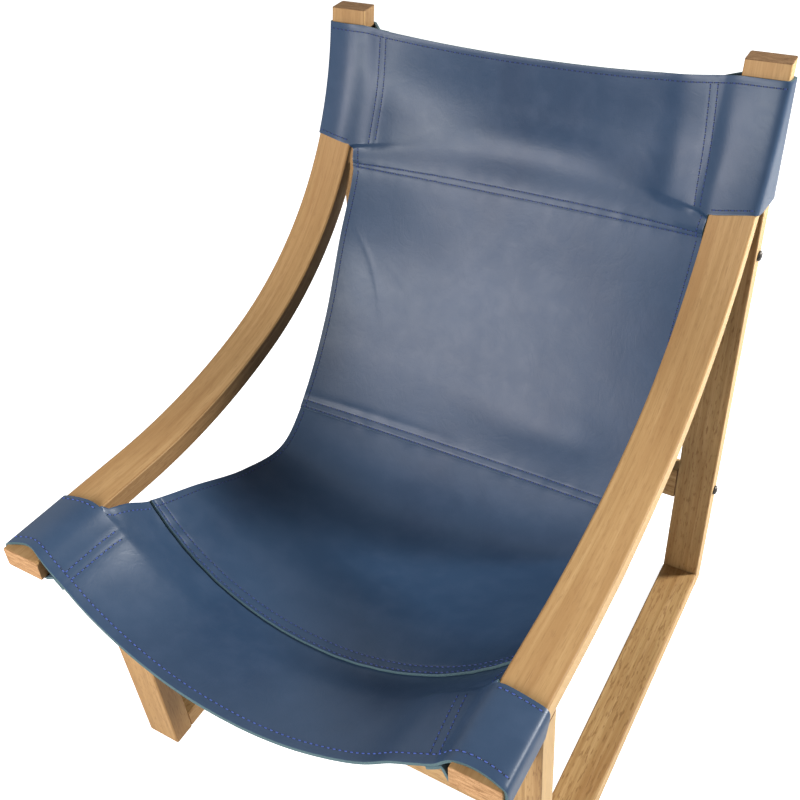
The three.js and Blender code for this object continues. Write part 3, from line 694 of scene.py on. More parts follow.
def make_steel():
    finish = Finish("darkened_steel")
    place = finish.place()
    brushed = finish.clouds(place, 900, detail=4, rough=0.6)
    colour = finish.ramp(brushed, [(0.3, linear(52, 49, 46)), (0.7, linear(84, 80, 76))])
    finish.vary(Base_Color=colour, Roughness=finish.band(brushed, 0.28, 0.46))
    finish.set(Metallic=1.0)
    finish.relief([(brushed, 0.00005, 0.3)])
    return finish.material


steel = make_steel()
SOCKET_RADIUS = 0.0029
SOCKET_DEPTH = 0.0022
SOCKET_SIDES = 6
BOLT_TURN_STEPS = 48
HEAD_RIM = 0.0008
HEAD_FLAT_SHARE = 1.25
HEAD_ROUND_STEPS = 8
SAME_PLACE = 0.000002
SHARP_EDGE = math.radians(40)


def make_bolt(rail_name, side):
    """Button-head bolt with a six-sided socket, turned about its axis."""
    y_middle, z_middle, lean = CROSS_RAILS[rail_name]
    shank = JOINT_GAP + MEMBER_WIDTH + JOINT_GAP + BOLT_NUT_REACH + BOLT_PAST_NUT
    profile = [(0, -shank), (BOLT_DIAMETER / 2, -shank), (BOLT_DIAMETER / 2, 0)]
    profile += [(BOLT_HEAD_DIAMETER / 2, 0), (BOLT_HEAD_DIAMETER / 2, HEAD_RIM)]
    flat = SOCKET_RADIUS * HEAD_FLAT_SHARE
    for step in range(1, HEAD_ROUND_STEPS):
        angle = step / HEAD_ROUND_STEPS * math.pi / 2
        reach = flat + (BOLT_HEAD_DIAMETER / 2 - flat) * math.cos(angle)
        profile.append((reach, HEAD_RIM + (BOLT_HEAD_HEIGHT - HEAD_RIM) * math.sin(angle)))
    profile += [(flat, BOLT_HEAD_HEIGHT), (SOCKET_RADIUS, BOLT_HEAD_HEIGHT)]
    profile += [(SOCKET_RADIUS, BOLT_HEAD_HEIGHT - SOCKET_DEPTH), (0, BOLT_HEAD_HEIGHT - SOCKET_DEPTH)]
    mesh = bmesh.new()
    corners = [mesh.verts.new((reach, 0, height)) for reach, height in profile]
    outline = [mesh.edges.new(pair) for pair in zip(corners, corners[1:])]
    bmesh.ops.spin(
        mesh, geom=corners + outline, cent=(0, 0, 0), axis=(0, 0, 1), dvec=(0, 0, 0),
        angle=2 * math.pi, steps=BOLT_TURN_STEPS, use_merge=True, use_duplicate=False,
    )
    bmesh.ops.remove_doubles(mesh, verts=mesh.verts, dist=SAME_PLACE)
    for vertex in mesh.verts:
        reach = math.hypot(vertex.co.x, vertex.co.y)
        if vertex.co.z > 0 and 0 < reach < SOCKET_RADIUS + SAME_PLACE:
            sector = 2 * math.pi / SOCKET_SIDES
            angle = math.atan2(vertex.co.y, vertex.co.x) % sector - sector / 2
            widen = math.cos(sector / 2) / math.cos(angle)
            vertex.co.x *= widen
            vertex.co.y *= widen
    turn = Matrix.Rotation(side * math.pi / 2, 4, "Y")
    seat = Vector((side * (ARM_OUTER + JOINT_GAP), y_middle, z_middle))
    bmesh.ops.transform(mesh, matrix=Matrix.Translation(seat) @ turn, verts=mesh.verts)
    bmesh.ops.recalc_face_normals(mesh, faces=mesh.faces)
    piece = finished(
        mesh, f"{rail_name}_button_bolt_{HANDS[side]}", [steel],
        [f"{rail_name}_bolt_{HANDS[side]}"],
    )
    piece.data.set_sharp_from_angle(angle=SHARP_EDGE)


for rail_name in CROSS_RAILS:
    for side in (RIGHT, LEFT):
        make_bolt(rail_name, side)


def make_dowel_wood():
    finish = Finish("beech_dowel")
    place = finish.place(scale=(400, 400, 400))
    fibres = finish.clouds(place, 1.0, detail=3)
    colour = finish.ramp(fibres, [(0.35, linear(196, 160, 112)), (0.65, linear(222, 192, 146))])
    finish.vary(Base_Color=colour, Roughness=finish.band(fibres, 0.6, 0.75))
    finish.relief([(fibres, 0.0002, 0.2)])
    return finish.material


hidden_finishes = {"dowel": make_dowel_wood(), "barrel_nut": steel}
for node_name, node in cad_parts.items():
    for kind, material in hidden_finishes.items():
        if kind in node_name:
            node.data.materials.clear()
            node.data.materials.append(material)

# The sling's surface


def loop_place(station):
    """Place on the arm of a station on one of the loops."""
    if station <= TOP_LOOP_END:
        return arm_place(ARM_LENGTH - TOP_LOOP_INSET - station / TOP_LOOP_END * TOP_LOOP_LENGTH)
    return arm_place(FRONT_LOOP_INSET + FRONT_LOOP_LENGTH * (FRONT_EDGE - station))


def on_loop(station):
    return station <= TOP_LOOP_END or station >= FRONT_LOOP_START


def edge_stations():
    """Points of the right side edge: along the arm on the loops, hanging free between them."""
    front_end = loop_place(FRONT_LOOP_START)
    top_end = loop_place(TOP_LOOP_END)
    points = []
    for station in range(FRONT_EDGE + 1):
        if HEAD_SEAM <= station <= SEAT_SEAM:
            along, drop, narrow, sag, aim = FREE_STATIONS[station - HEAD_SEAM]
            points.append(Vector((
                SLING_HALF_WIDTH - narrow * MEMBER_WIDTH,
                front_end[0] + along * (top_end[0] - front_end[0]),
                front_end[1] + along * (top_end[1] - front_end[1]) - drop * SLING_DROP,
            )))
        else:
            points.append(above(SLING_HALF_WIDTH, loop_place(station), LEATHER_GAP + LEATHER))
    return points


EDGE_POINTS = edge_stations()
SAGS = TOP_LOOP_SAGS + [row[3:] for row in FREE_STATIONS] + FRONT_LOOP_SAGS
MIDDLE_POINTS = [
    Vector((
        0,
        edge.y + sag * SLING_SAG * math.sin(aim * math.pi / 2),
        edge.z - sag * SLING_SAG * math.cos(aim * math.pi / 2),
    ))
    for edge, (sag, aim) in zip(EDGE_POINTS, SAGS)
]


def curve_point(points, station):
    """Point of the smooth curve through all points, with no loop where two lie close."""
    last = len(points) - 1
    index = min(max(int(math.floor(station)), 0), last - 1)
    share = station - index
    start, end = points[index], points[index + 1]
    before = points[index - 1] if index > 0 else 2 * start - end
    after = points[index + 2] if index + 2 <= last else 2 * end - start
    first = math.sqrt((start - before).length)
    second = math.sqrt((end - start).length)
    third = math.sqrt((after - end).length)
    leave = (start - before) / first - (end - before) / (first + second) + (end - start) / second
    arrive = (end - start) / second - (after - start) / (second + third) + (after - end) / third
    leave, arrive = leave * second, arrive * second
    return (
        start + leave * share
        + (3 * (end - start) - 2 * leave - arrive) * share ** 2
        + (2 * (start - end) + leave + arrive) * share ** 3
    )


def edge_at(station):
    """The sling's pull towards its side edge, one smooth curve from end to end."""
    return curve_point(EDGE_POINTS, station)


@functools.lru_cache(maxsize=None)
def edge_tuck(station):
    """How the side edge lies off that curve, for the left and for the right: flat on the arm
    along the loops, and slipped in past the arm just off them."""
    if on_loop(station):
        flat = above(SLING_HALF_WIDTH, loop_place(station), LEATHER_GAP + LEATHER) - edge_at(station)
        return Vector((-flat.x, flat.y, flat.z)), flat
    from_loop = min(station - TOP_LOOP_END, FRONT_LOOP_START - station)
    tuck = smoothstep(from_loop, 0, TUCK_STATIONS)
    fade = 1 - smoothstep(from_loop, TUCK_STATIONS, TUCK_FADE_STATIONS)
    loop_end = TOP_LOOP_END if station < LUMBAR_SEAM else FRONT_LOOP_START
    down = arm_up(loop_place(loop_end)) * (-SLING_EDGE_TUCK_DEPTH * tuck * fade)
    left = down + Vector((SLING_EDGE_TUCK * tuck, 0, 0))
    return left, down + Vector((RIGHT_EDGE_TUCK * -tuck, 0, 0))


@functools.lru_cache(maxsize=None)
def station_frame(station):
    """Edge and middle of the sling at a station, and how they run with the station."""
    low = max(station - STATION_STEP, 0)
    high = min(station + STATION_STEP, FRONT_EDGE)
    edge_run = (edge_at(high) - edge_at(low)) / (high - low)
    middle_run = (curve_point(MIDDLE_POINTS, high) - curve_point(MIDDLE_POINTS, low)) / (high - low)
    return edge_at(station), curve_point(MIDDLE_POINTS, station), edge_run, middle_run


def sling_place(station, across):
    """Point of the plain sling and the direction towards the sitter; across is -1 to 1."""
    edge, middle, edge_run, middle_run = station_frame(station)
    rise = (1 - FLATTER_MIDDLE) * across ** 2 + FLATTER_MIDDLE * across ** 4
    climb = 2 * (1 - FLATTER_MIDDLE) * across + 4 * FLATTER_MIDDLE * across ** 3
    up = edge - middle
    run = edge_run - middle_run
    half = edge.x
    if across > 0:
        half += (SLING_HALF_WIDTH - edge.x) * (1 - RIGHT_NARROWING) * across ** 2
    point = Vector((half * across, middle.y + up.y * rise, middle.z + up.z * rise))
    left_tuck, right_tuck = edge_tuck(station)
    point += (right_tuck if across > 0 else left_tuck) * abs(across) ** TUCK_POWER
    down = Vector((
        edge_run.x * across, middle_run.y + run.y * rise, middle_run.z + run.z * rise,
    ))
    right = Vector((edge.x, up.y * climb, up.z * climb))
    return point, down.cross(right).normalized()


@functools.lru_cache(maxsize=None)
def station_length(station):
    """Metres of leather to one station, along the sling's middle."""
    run = station_frame(station)[3]
    return run.length


def length_above(seam):
    """Metres of leather to one station, just above a seam."""
    return station_length(seam - 2 * STATION_STEP)


def before_seam(seam, length):
    """Station that lies a length above a seam."""
    return seam - length / length_above(seam)


LAP_RAMPS = {HEAD_SEAM: 0.055, LUMBAR_SEAM: 0.085, SEAT_SEAM: 0.060}


def lap_lift(station, seam):
    """How far a panel rises at its lower end, where it lies on the next one."""
    start = before_seam(seam, SEAM_LAP)
    ramp = before_seam(seam, SEAM_LAP + LAP_RAMPS[seam])
    return smoothstep(station, ramp, start) * (LEATHER + LEATHER_GAP)


# Distance of each row of stitches above its seam
SEAM_STITCHES = {
    HEAD_SEAM: (0.0025, 0.0130),
    LUMBAR_SEAM: (0.0035, 0.0145),
    SEAT_SEAM: (0.0045, 0.0165),
}
STITCH_GROOVE = 0.0003
STITCH_GROOVE_WIDTH = 0.0016
LOOP_FADE = 0.022
# Height or depth, distance from the middle plane and width of the folds beside the arms
RIDGES = {LEFT: (0.0010, 0.238, 0.016), RIGHT: (0.0040, 0.212, 0.023)}
VALLEYS = {LEFT: (0.0018, 0.268, 0.009), RIGHT: (0.0028, 0.257, 0.012)}
FLAP_STITCH_INSETS = (0.0022, 0.0112)


def flap_end(station, side):
    """Distance from the middle plane to the end of the flap under the panel."""
    if station < LUMBAR_SEAM:
        share = station / TOP_LOOP_END
        start, end = TOP_FLAP_REACHES[side]
    else:
        share = min(max(station - FRONT_LOOP_START, 0), 1)
        start, end = FRONT_FLAP_REACHES[side]
    return ARM_INNER - start - (end - start) * min(share, 1)


# Broad soft dents where the leather has taken the sitter's shape: station and place across,
# how far each reaches along and across in metres, and depth
DENTS = [
    (1.80, 0.10, 0.026, 0.160, 0.0022),
    (5.45, 0.55, 0.036, 0.130, 0.0045),
    (3.10, -0.55, 0.060, 0.070, 0.0020),
]


# Share of the way to the side edge at which dents start to fade and have gone
DENT_FADE = (0.6, 0.95)
DENT_STATIONS = 3


def dents(station, x):
    depth = 0.0
    for middle, across, length, width, deep in DENTS:
        if abs(station - middle) < DENT_STATIONS:
            away = (station - middle) * station_length(middle)
            depth += deep * bell(away, length) * bell(x - across * SLING_HALF_WIDTH, width)
    return depth


# Fine creases: station and x at both ends, width and depth in metres
CREASES = [
    (3.75, -0.252, 5.00, -0.160, 0.0045, 0.0006),
    (4.10, -0.200, 4.60, -0.120, 0.0040, 0.0003),
    (2.15, 0.120, 2.55, 0.205, 0.0040, 0.0004),
    (1.20, 0.150, 1.95, 0.215, 0.0050, 0.0003),
    (7.90, -0.120, 8.60, 0.020, 0.0060, 0.0003),
]


CREASE_SWAY = 0.006
CREASE_TURN = 5


def creases(station, x):
    depth = 0.0
    for start, start_x, end, end_x, width, deep in CREASES:
        share = (station - start) / (end - start)
        if 0 < share < 1:
            middle = start_x + (end_x - start_x) * share + CREASE_SWAY * math.sin(share * CREASE_TURN)
            depth += deep * bell(x - middle, width) * math.sin(math.pi * share)
    return depth


# Broad waves of the hide: height, how many to a metre, and where the pattern starts
WAVES = [(0.0011, 7.0, Vector((3.1, 0, 0))), (0.0004, 19.0, Vector((0, 8.4, 0)))]
WAVE_FADE_POWER = 6

# Puckers that the stitches pull in the leather above a seam
PUCKER_HEIGHT = 0.0009
PUCKER_LENGTH = 0.017
PUCKER_PLACE = 0.008
PUCKER_WIDTH = 0.014

# Ridge above the lumbar seam, strongest on the left
LUMBAR_RIDGE = 0.0010
LUMBAR_RIDGE_PLACE = 0.024
LUMBAR_RIDGE_WIDTH = 0.0055
LUMBAR_RIDGE_FADE = (-0.06, 0.20)
LUMBAR_RIDGE_SEED = 5.1
LUMBAR_RIDGE_LENGTH = 0.05


def pucker(x, seed, length):
    """Uneven rise and fall across the sling, from about -1 to 1."""
    return noise.noise(Vector((x / length, seed, 0.37)))


def sling_relief(station, across, point):
    """How far the leather stands out from the plain sling, towards the sitter."""
    x = point.x
    height = sum(rise * noise.noise(point * often + start) for rise, often, start in WAVES)
    height *= 1 - abs(across) ** WAVE_FADE_POWER
    height -= dents(station, x) * (1 - smoothstep(abs(across), *DENT_FADE))
    height -= creases(station, x)
    for seam, rows in SEAM_STITCHES.items():
        if abs(station - seam) > 1:
            continue
        away = (seam - station) * length_above(seam)
        near_seam = bell(away - PUCKER_PLACE, PUCKER_WIDTH)
        height += PUCKER_HEIGHT * pucker(x, seam, PUCKER_LENGTH) * near_seam
        for row in rows:
            height -= STITCH_GROOVE * bell(away - row, STITCH_GROOVE_WIDTH)
    if abs(station - LUMBAR_SEAM) < 1:
        away = (LUMBAR_SEAM - station) * length_above(LUMBAR_SEAM)
        uneven = 0.75 + 0.5 * pucker(x, LUMBAR_RIDGE_SEED, LUMBAR_RIDGE_LENGTH)
        strength = smoothstep(-x, *LUMBAR_RIDGE_FADE) * uneven
        height += LUMBAR_RIDGE * strength * bell(away - LUMBAR_RIDGE_PLACE, LUMBAR_RIDGE_WIDTH)
    nearness = loop_nearness(station)
    if nearness > 0:
        side = RIGHT if x > 0 else LEFT
        reach = abs(x)
        end = flap_end(station, side)
        ridge, ridge_place, ridge_width = RIDGES[side]
        valley, valley_place, valley_width = VALLEYS[side]
        shape = ridge * bell(reach - ridge_place, ridge_width)
        shape -= valley * bell(reach - valley_place, valley_width)
        for inset in FLAP_STITCH_INSETS:
            shape -= STITCH_GROOVE * bell(reach - end - inset, STITCH_GROOVE_WIDTH)
        height += shape * nearness
    return height


def loop_nearness(station):
    """1 on the loops, fading beside them."""
    if on_loop(station):
        return 1.0
    if station < LUMBAR_SEAM:
        away = (station - TOP_LOOP_END) * station_length(TOP_LOOP_END)
    else:
        away = (FRONT_LOOP_START - station) * station_length(FRONT_LOOP_START)
    return 1 - smoothstep(away, 0, LOOP_FADE)


def panel_place(station, across, seam):
    """Point of a panel's upper face and the direction towards the sitter."""
    point, normal = sling_place(station, across)
    lift = sling_relief(station, across, point)
    if seam < FRONT_EDGE:
        lift += lap_lift(station, seam)
    return point + normal * lift, normal


# Loops round the members

CORNER_STEPS = 6


def rounded(centre, start, end, start_gap, end_gap):
    """Leather round a wood edge, from one direction to another about the edge's centre."""
    points = []
    for step in range(CORNER_STEPS + 1):
        angle = step / CORNER_STEPS * math.pi / 2
        points.append(
            centre
            + start * (math.cos(angle) * (EDGE_RADIUS + start_gap + LEATHER))
            + end * (math.sin(angle) * (EDGE_RADIUS + end_gap + LEATHER))
        )
    return points


def between(start, end, count):
    """Points between two, both left out."""
    return [start.lerp(end, step / (count + 1)) for step in range(1, count + 1)]


# A loop turns over three faces of the arm, from 0 at the panel to 1 at the back
LOOP_FACES = 3
FACE_COLUMNS = 18
OUTER_COLUMNS = 10
BACK_COLUMNS = 12
INNER_COLUMNS = 10
FLAP_COLUMNS = 6
INNER_CORNER_STEPS = 3
FACE_BULGE = {LEFT: 0.0048, RIGHT: 0.0014}
BULGE_LEAN = {LEFT: 0.63, RIGHT: 0.85}


def loop_points(station, hand, place_at, wrap_at, seam, scoop):
    """Outer face of the leather round a member, from the panel to the flap's end, for the
    right-hand one; the left-hand one is turned over afterwards."""
    side = Vector((1, 0, 0))
    inner = []
    corner_x = ARM_OUTER - EDGE_RADIUS
    for step in range(FACE_COLUMNS):
        share = step / FACE_COLUMNS
        x = ARM_INNER + EDGE_RADIUS + (corner_x - ARM_INNER - EDGE_RADIUS) * share
        bulge = FACE_BULGE[hand] * math.sin(math.pi * share ** BULGE_LEAN[hand])
        place = place_at(share / LOOP_FACES, scoop * math.sin(math.pi * share))
        inner.append(above(x, place, LEATHER_GAP + LEATHER + bulge))
    outer = place_at(1 / LOOP_FACES)
    outer_corner = rounded(
        above(corner_x, outer, -EDGE_RADIUS), arm_up(outer), side, LEATHER_GAP, LOOP_SLACK,
    )
    under = place_at(1)
    direction, depth = wrap_at(under)
    back_centre = above(corner_x, under, 0) + direction * (depth - EDGE_RADIUS)
    back_corner = rounded(back_centre, side, direction, LOOP_SLACK, LOOP_SLACK)
    inner_centre = back_centre.copy()
    inner_centre.x = ARM_INNER + EDGE_RADIUS
    flap_x = flap_end(station, hand)
    flap = []
    for x in spread(flap_x + FLAP_STITCH_WIDTH, flap_x, FLAP_COLUMNS):
        across = hand * x / edge_at(station).x
        point, normal = panel_place(station, across, seam)
        point.x *= hand
        normal.x *= hand
        flap.append(point - normal * (2 * LEATHER + LEATHER_GAP))
    to_flap = (flap[0] - inner_centre).normalized()
    turned = (direction - to_flap * direction.dot(to_flap)).normalized()
    reach = EDGE_RADIUS + LOOP_SLACK + LEATHER
    inner_corner = [
        inner_centre + direction.slerp(turned, share) * reach
        for share in spread(0, 1, INNER_CORNER_STEPS)
    ]
    points = inner + outer_corner
    points += between(outer_corner[-1], back_corner[0], OUTER_COLUMNS) + back_corner
    points += between(back_corner[-1], inner_corner[0], BACK_COLUMNS) + inner_corner
    points += between(inner_corner[-1], flap[0], INNER_COLUMNS) + flap
    return points


def top_loop(station, hand):
    """Round the arm and the top of the post behind it."""
    share = station / TOP_LOOP_END

    def place_at(turn, scoop=0.0):
        taper = TOP_LOOP_TAPER * min(turn * LOOP_FACES, 1)
        return arm_place(ARM_LENGTH - TOP_LOOP_INSET - share * (TOP_LOOP_LENGTH - taper))

    direction = Vector((0, math.cos(TOP_LOOP_TILT), -math.sin(TOP_LOOP_TILT)))

    def wrap_at(start):
        y, z, slope = start
        arm = -arm_up(start).dot(direction)
        to_back = (post_back(z) - y) / (
            math.cos(TOP_LOOP_TILT) + math.sin(TOP_LOOP_TILT) * math.tan(POST_LEAN)
        )
        return direction, max(to_back, ARM_THICKNESS / arm)

    return loop_points(station, hand, place_at, wrap_at, HEAD_SEAM, 0.0)


def front_loop(station, hand):
    """Round the arm's front end, with its front edge scooped and shifted."""
    share = FRONT_EDGE - station

    def place_at(turn, scoop=0.0):
        shift = FRONT_SHIFT[hand] * min(turn * 2 * LOOP_FACES, 1)
        start = FRONT_LOOP_INSET + (shift + scoop) * (1 - share) ** 2
        return arm_place(start + (FRONT_LOOP_LENGTH - FRONT_LOOP_TAPER * turn) * share)

    def wrap_at(start):
        return -arm_up(start), ARM_THICKNESS

    return loop_points(station, hand, place_at, wrap_at, FRONT_EDGE, FRONT_SCOOP[hand])


# Leather


def make_leather():
    finish = Finish("navy_leather")
    place = finish.place()
    hide = finish.clouds(place, 5.5, detail=4, rough=0.55, distortion=0.6)
    mottle = finish.clouds(place, 38, detail=4, rough=0.6)
    grain = finish.node("ShaderNodeTexVoronoi", {
        "Vector": place, "Scale": 620.0, "Randomness": 1.0,
    }, feature="DISTANCE_TO_EDGE").outputs["Distance"]
    fine = finish.clouds(place, 1500, detail=2)
    crease = finish.clouds(place, 26, detail=5, rough=0.6, distortion=1.4)
    base = finish.ramp(hide, [
        (0.30, linear(39, 60, 86)), (0.52, linear(44, 66, 92)), (0.75, linear(51, 72, 98)),
    ])
    mottled = finish.mix(finish.ramp(mottle, [(0.45, 0.0), (0.75, 0.18)]), base, linear(70, 86, 112))
    finish.vary(Base_Color=mottled, Roughness=finish.band(mottle, 0.30, 0.46))
    finish.set(Specular_IOR_Level=0.36)
    finish.relief([
        (finish.ramp(crease, [(0.44, 0.0), (0.5, 1.0), (0.56, 0.0)]), 0.0003, 0.12),
        (mottle, 0.0008, 0.22),
        (grain, 0.00022, 0.15),
        (fine, 0.0001, 0.08),
    ])
    return finish.material


def make_flesh_side():
    finish = Finish("leather_flesh_side")
    place = finish.place()
    nap = finish.clouds(place, 700, detail=5, rough=0.7)
    patches = finish.clouds(place, 24, detail=3)
    base = finish.ramp(patches, [(0.3, linear(58, 78, 92)), (0.7, linear(82, 102, 112))])
    finish.vary(Base_Color=finish.mix(
        finish.ramp(nap, [(0.35, 0.35), (0.65, 0.0)]), base, linear(44, 60, 76)
    ))
    finish.set(Roughness=0.85, Specular_IOR_Level=0.2)
    finish.relief([(nap, 0.0004, 0.4)])
    return finish.material


def make_cut_edge():
    finish = Finish("leather_cut_edge")
    place = finish.place()
    fibre = finish.clouds(place, 1100, detail=4, rough=0.65)
    finish.vary(Base_Color=finish.ramp(fibre, [
        (0.30, linear(54, 80, 88)), (0.70, linear(88, 112, 114)),
    ]))
    finish.set(Roughness=0.6, Specular_IOR_Level=0.3)
    finish.relief([(fibre, 0.0002, 0.4)])
    return finish.material


def make_thread(name, dark, light):
    finish = Finish(name)
    place = finish.place()
    twist = finish.clouds(place, 2600, detail=2)
    finish.vary(Base_Color=finish.ramp(twist, [(0.3, dark), (0.7, light)]))
    finish.set(Roughness=0.55)
    finish.relief([(twist, 0.0001, 0.4)])
    return finish.material


# Painted shade: near-black discs at the stitch ends stand for the shadow in each needle hole
def make_painted_hole_shade():
    finish = Finish("painted_hole_shade")
    nap = finish.clouds(finish.place(), 1800, detail=2)
    finish.vary(Base_Color=finish.ramp(nap, [
        (0.3, linear(12, 18, 28)), (0.7, linear(22, 32, 48)),
    ]))
    finish.set(Roughness=0.8)
    return finish.material


leather = make_leather()
flesh_side = make_flesh_side()
cut_edge = make_cut_edge()
thread = make_thread("navy_thread", linear(28, 44, 96), linear(44, 68, 140))
front_edge_thread = make_thread("blue_thread", linear(42, 64, 134), linear(66, 94, 176))
painted_hole_shade = make_painted_hole_shade()

# Panels of the sling

ROW_LENGTH = 0.0036
FINE_ROW_LENGTH = 0.0011
EDGE_COLUMN_START = 0.195
CENTRE_COLUMNS = 84
EDGE_COLUMNS = 38
FEWEST_ROWS = 4
CLOSEST_ROWS = 0.6
SEAM_FINE_REACH = 0.012
LOOP_FINE_REACH = 0.012
SOFTENING_PASSES = 14
SOFTENED_BODY_COLUMNS = 8
EDGE_BEVEL = 0.0006
EDGE_BEVEL_STEPS = 2
EDGE_ANGLE = math.radians(50)


def body_columns():
    inner = EDGE_COLUMN_START / SLING_HALF_WIDTH
    centre = spread(-inner, inner, CENTRE_COLUMNS)
    right = spread(inner, 1, EDGE_COLUMNS)[1:]
    return [-across for across in reversed(right)] + centre + right


BODY_COLUMNS = body_columns()


def panel_rows(start, end, fine_places):
    """Stations of a panel's rows, closer where stitches and laps need it."""
    length = (end - start) * station_length((start + end) / 2)
    rows = set(spread(start, end, max(int(length / ROW_LENGTH), FEWEST_ROWS)))
    for middle, reach in fine_places:
        count = max(int(reach / FINE_ROW_LENGTH), 1)
        per_station = station_length(middle)
        for step in range(-count, count + 1):
            station = middle + step * FINE_ROW_LENGTH / per_station
            if start < station < end:
                rows.add(station)
    kept = []
    for station in sorted(rows):
        close = FINE_ROW_LENGTH * CLOSEST_ROWS / station_length(station)
        if kept and station - kept[-1] < close and station < end:
            continue
        kept.append(station)
    return kept


def seam_rows(seam):
    """Closer rows at a seam's lap and its stitches."""
    return [(before_seam(seam, SEAM_LAP / 2), SEAM_LAP / 2 + SEAM_FINE_REACH)]


class Panel:
    """A leather panel as a grid of points: rows down the sling, columns across it and
    round the loops. Columns run from -1 to 1 on the panel and on to 2 at a flap's end."""

    def __init__(self, name, rows, seam, loop=None, loop_rows=lambda station: False):
        self.name = name
        self.rows = rows
        loop_at = [station for station in rows if loop_rows(station)]
        side_count = len(loop(loop_at[0], RIGHT)) if loop_at else 0
        shares = [1 + step / side_count for step in range(1, side_count + 1)]
        self.columns = [-share for share in reversed(shares)] + BODY_COLUMNS + shares
        self.points = []
        for station in rows:
            body = [panel_place(station, across, seam)[0] for across in BODY_COLUMNS]
            if loop_rows(station):
                right = loop(station, RIGHT)
                left = [Vector((-point.x, point.y, point.z)) for point in reversed(loop(station, LEFT))]
            else:
                right = left = [None] * side_count
            self.points.append(left + body + right)
        self.soften(side_count)

    def soften(self, side_count):
        """Rounds the bends at the loops' corners."""
        if not side_count:
            return
        last = len(self.columns) - 1
        first = side_count - 2 * CORNER_STEPS - FACE_COLUMNS
        window = range(first, side_count + SOFTENED_BODY_COLUMNS)
        for row in self.points:
            if row[0] is None:
                continue
            for _ in range(SOFTENING_PASSES):
                old = list(row)
                for index in window:
                    for column in (index, last - index):
                        row[column] = old[column] * 0.5 + (old[column - 1] + old[column + 1]) * 0.25

    def at(self, station, column):
        """Point and outward direction on the leather."""
        row = min(max(bisect.bisect_right(self.rows, station) - 1, 0), len(self.rows) - 2)
        place = min(max(bisect.bisect_right(self.columns, column) - 1, 0), len(self.columns) - 2)
        down = (station - self.rows[row]) / (self.rows[row + 1] - self.rows[row])
        over = (column - self.columns[place]) / (self.columns[place + 1] - self.columns[place])
        corners = [
            self.points[row][place], self.points[row][place + 1],
            self.points[row + 1][place], self.points[row + 1][place + 1],
        ]
        if any(corner is None for corner in corners):
            return None
        upper = corners[0].lerp(corners[1], over)
        lower = corners[2].lerp(corners[3], over)
        normal = (corners[2] - corners[0]).cross(corners[1] - corners[0]).normalized()
        return upper.lerp(lower, down), normal

    def make(self, node, flat, held, rests_on):
        """The panel as a solid sheet of leather with its cut edges."""
        columns, rows = len(self.columns) - 1, len(self.rows) - 1
        mesh = bmesh.new()
        bmesh.ops.create_grid(mesh, x_segments=columns, y_segments=rows, size=0.5)
        absent = []
        for vertex in mesh.verts:
            column = round((vertex.co.x + 0.5) * columns)
            row = round((0.5 - vertex.co.y) * rows)
            point = self.points[row][column]
            if point is None:
                absent.append(vertex)
            else:
                vertex.co = point
        bmesh.ops.delete(mesh, geom=absent, context="VERTS")
        self.area = sum(face.calc_area() for face in mesh.faces)
        piece = finished(mesh, self.name, [leather, flesh_side, cut_edge], [node])
        wall = piece.modifiers.new("thickness", "SOLIDIFY")
        wall.thickness = LEATHER
        wall.offset = -1
        wall.material_offset = 1
        wall.material_offset_rim = 2
        edge = piece.modifiers.new("eased edge", "BEVEL")
        edge.width = EDGE_BEVEL
        edge.segments = EDGE_BEVEL_STEPS
        edge.limit_method = "ANGLE"
        edge.angle_limit = EDGE_ANGLE
        edge.use_clamp_overlap = True
        self.piece = piece
        self.sheet = (flat, held, rests_on)


head = Panel(
    "head_leather",
    panel_rows(0, HEAD_SEAM, seam_rows(HEAD_SEAM) + [(TOP_LOOP_END, LOOP_FINE_REACH)]),
    HEAD_SEAM, top_loop, lambda station: station <= TOP_LOOP_END,
)
back = Panel(
    "back_leather",
    panel_rows(before_seam(HEAD_SEAM, SEAM_LAP), LUMBAR_SEAM, seam_rows(LUMBAR_SEAM)),
    LUMBAR_SEAM,
)
seat = Panel(
    "seat_leather",
    panel_rows(before_seam(LUMBAR_SEAM, SEAM_LAP), SEAT_SEAM, seam_rows(SEAT_SEAM)),
    SEAT_SEAM,
)
front = Panel(
    "front_leather",
    panel_rows(before_seam(SEAT_SEAM, SEAM_LAP), FRONT_EDGE, [(FRONT_LOOP_START, LOOP_FINE_REACH)]),
    FRONT_EDGE, front_loop, lambda station: station >= FRONT_LOOP_START,
)
head.make("head_panel", (1.03, 0.25), "stretched", ["bent_arm_right", "bent_arm_left"])
back.make("back_panel", (0.552, 0.415), "stretched", ["head_leather"])
seat.make("seat_panel", (0.552, 0.425), "stretched", ["back_leather"])
front.make("front_panel", (1.0, 0.25), "stretched", ["bent_arm_right", "bent_arm_left"])

# Stitches

STITCH_PITCH = 0.0078
STITCH_LENGTH = 0.0050
THREAD_WIDTH = 0.0016
EDGE_STITCH_INSET = 0.0085
# Radius and half thickness of the dark discs of painted shade at the needle holes
HOLE_RADIUS = 0.0011
HOLE_RISE = 0.0003
STITCH_SIDES = 6
STITCH_RINGS = 5
HOLE_RINGS = 3
STITCH_FACES = STITCH_SIDES * STITCH_RINGS


def row_across(station, column_from, column_to, count):
    """Path across the leather at one station, from one column to another."""
    return [(station, column) for column in spread(column_from, column_to, count)]


def stitch_places(panel, path):
    """Evenly spaced places along a path on the leather: point, direction and outward."""
    found = [panel.at(station, column) for station, column in path]
    found = [place for place in found if place]
    places = []
    left = STITCH_PITCH / 2
    for (start, normal), (end, _) in zip(found, found[1:]):
        run = end - start
        length = run.length
        if length == 0:
            continue
        while left <= length:
            places.append((start + run * (left / length), run.normalized(), normal))
            left += STITCH_PITCH
        left -= length
    return places


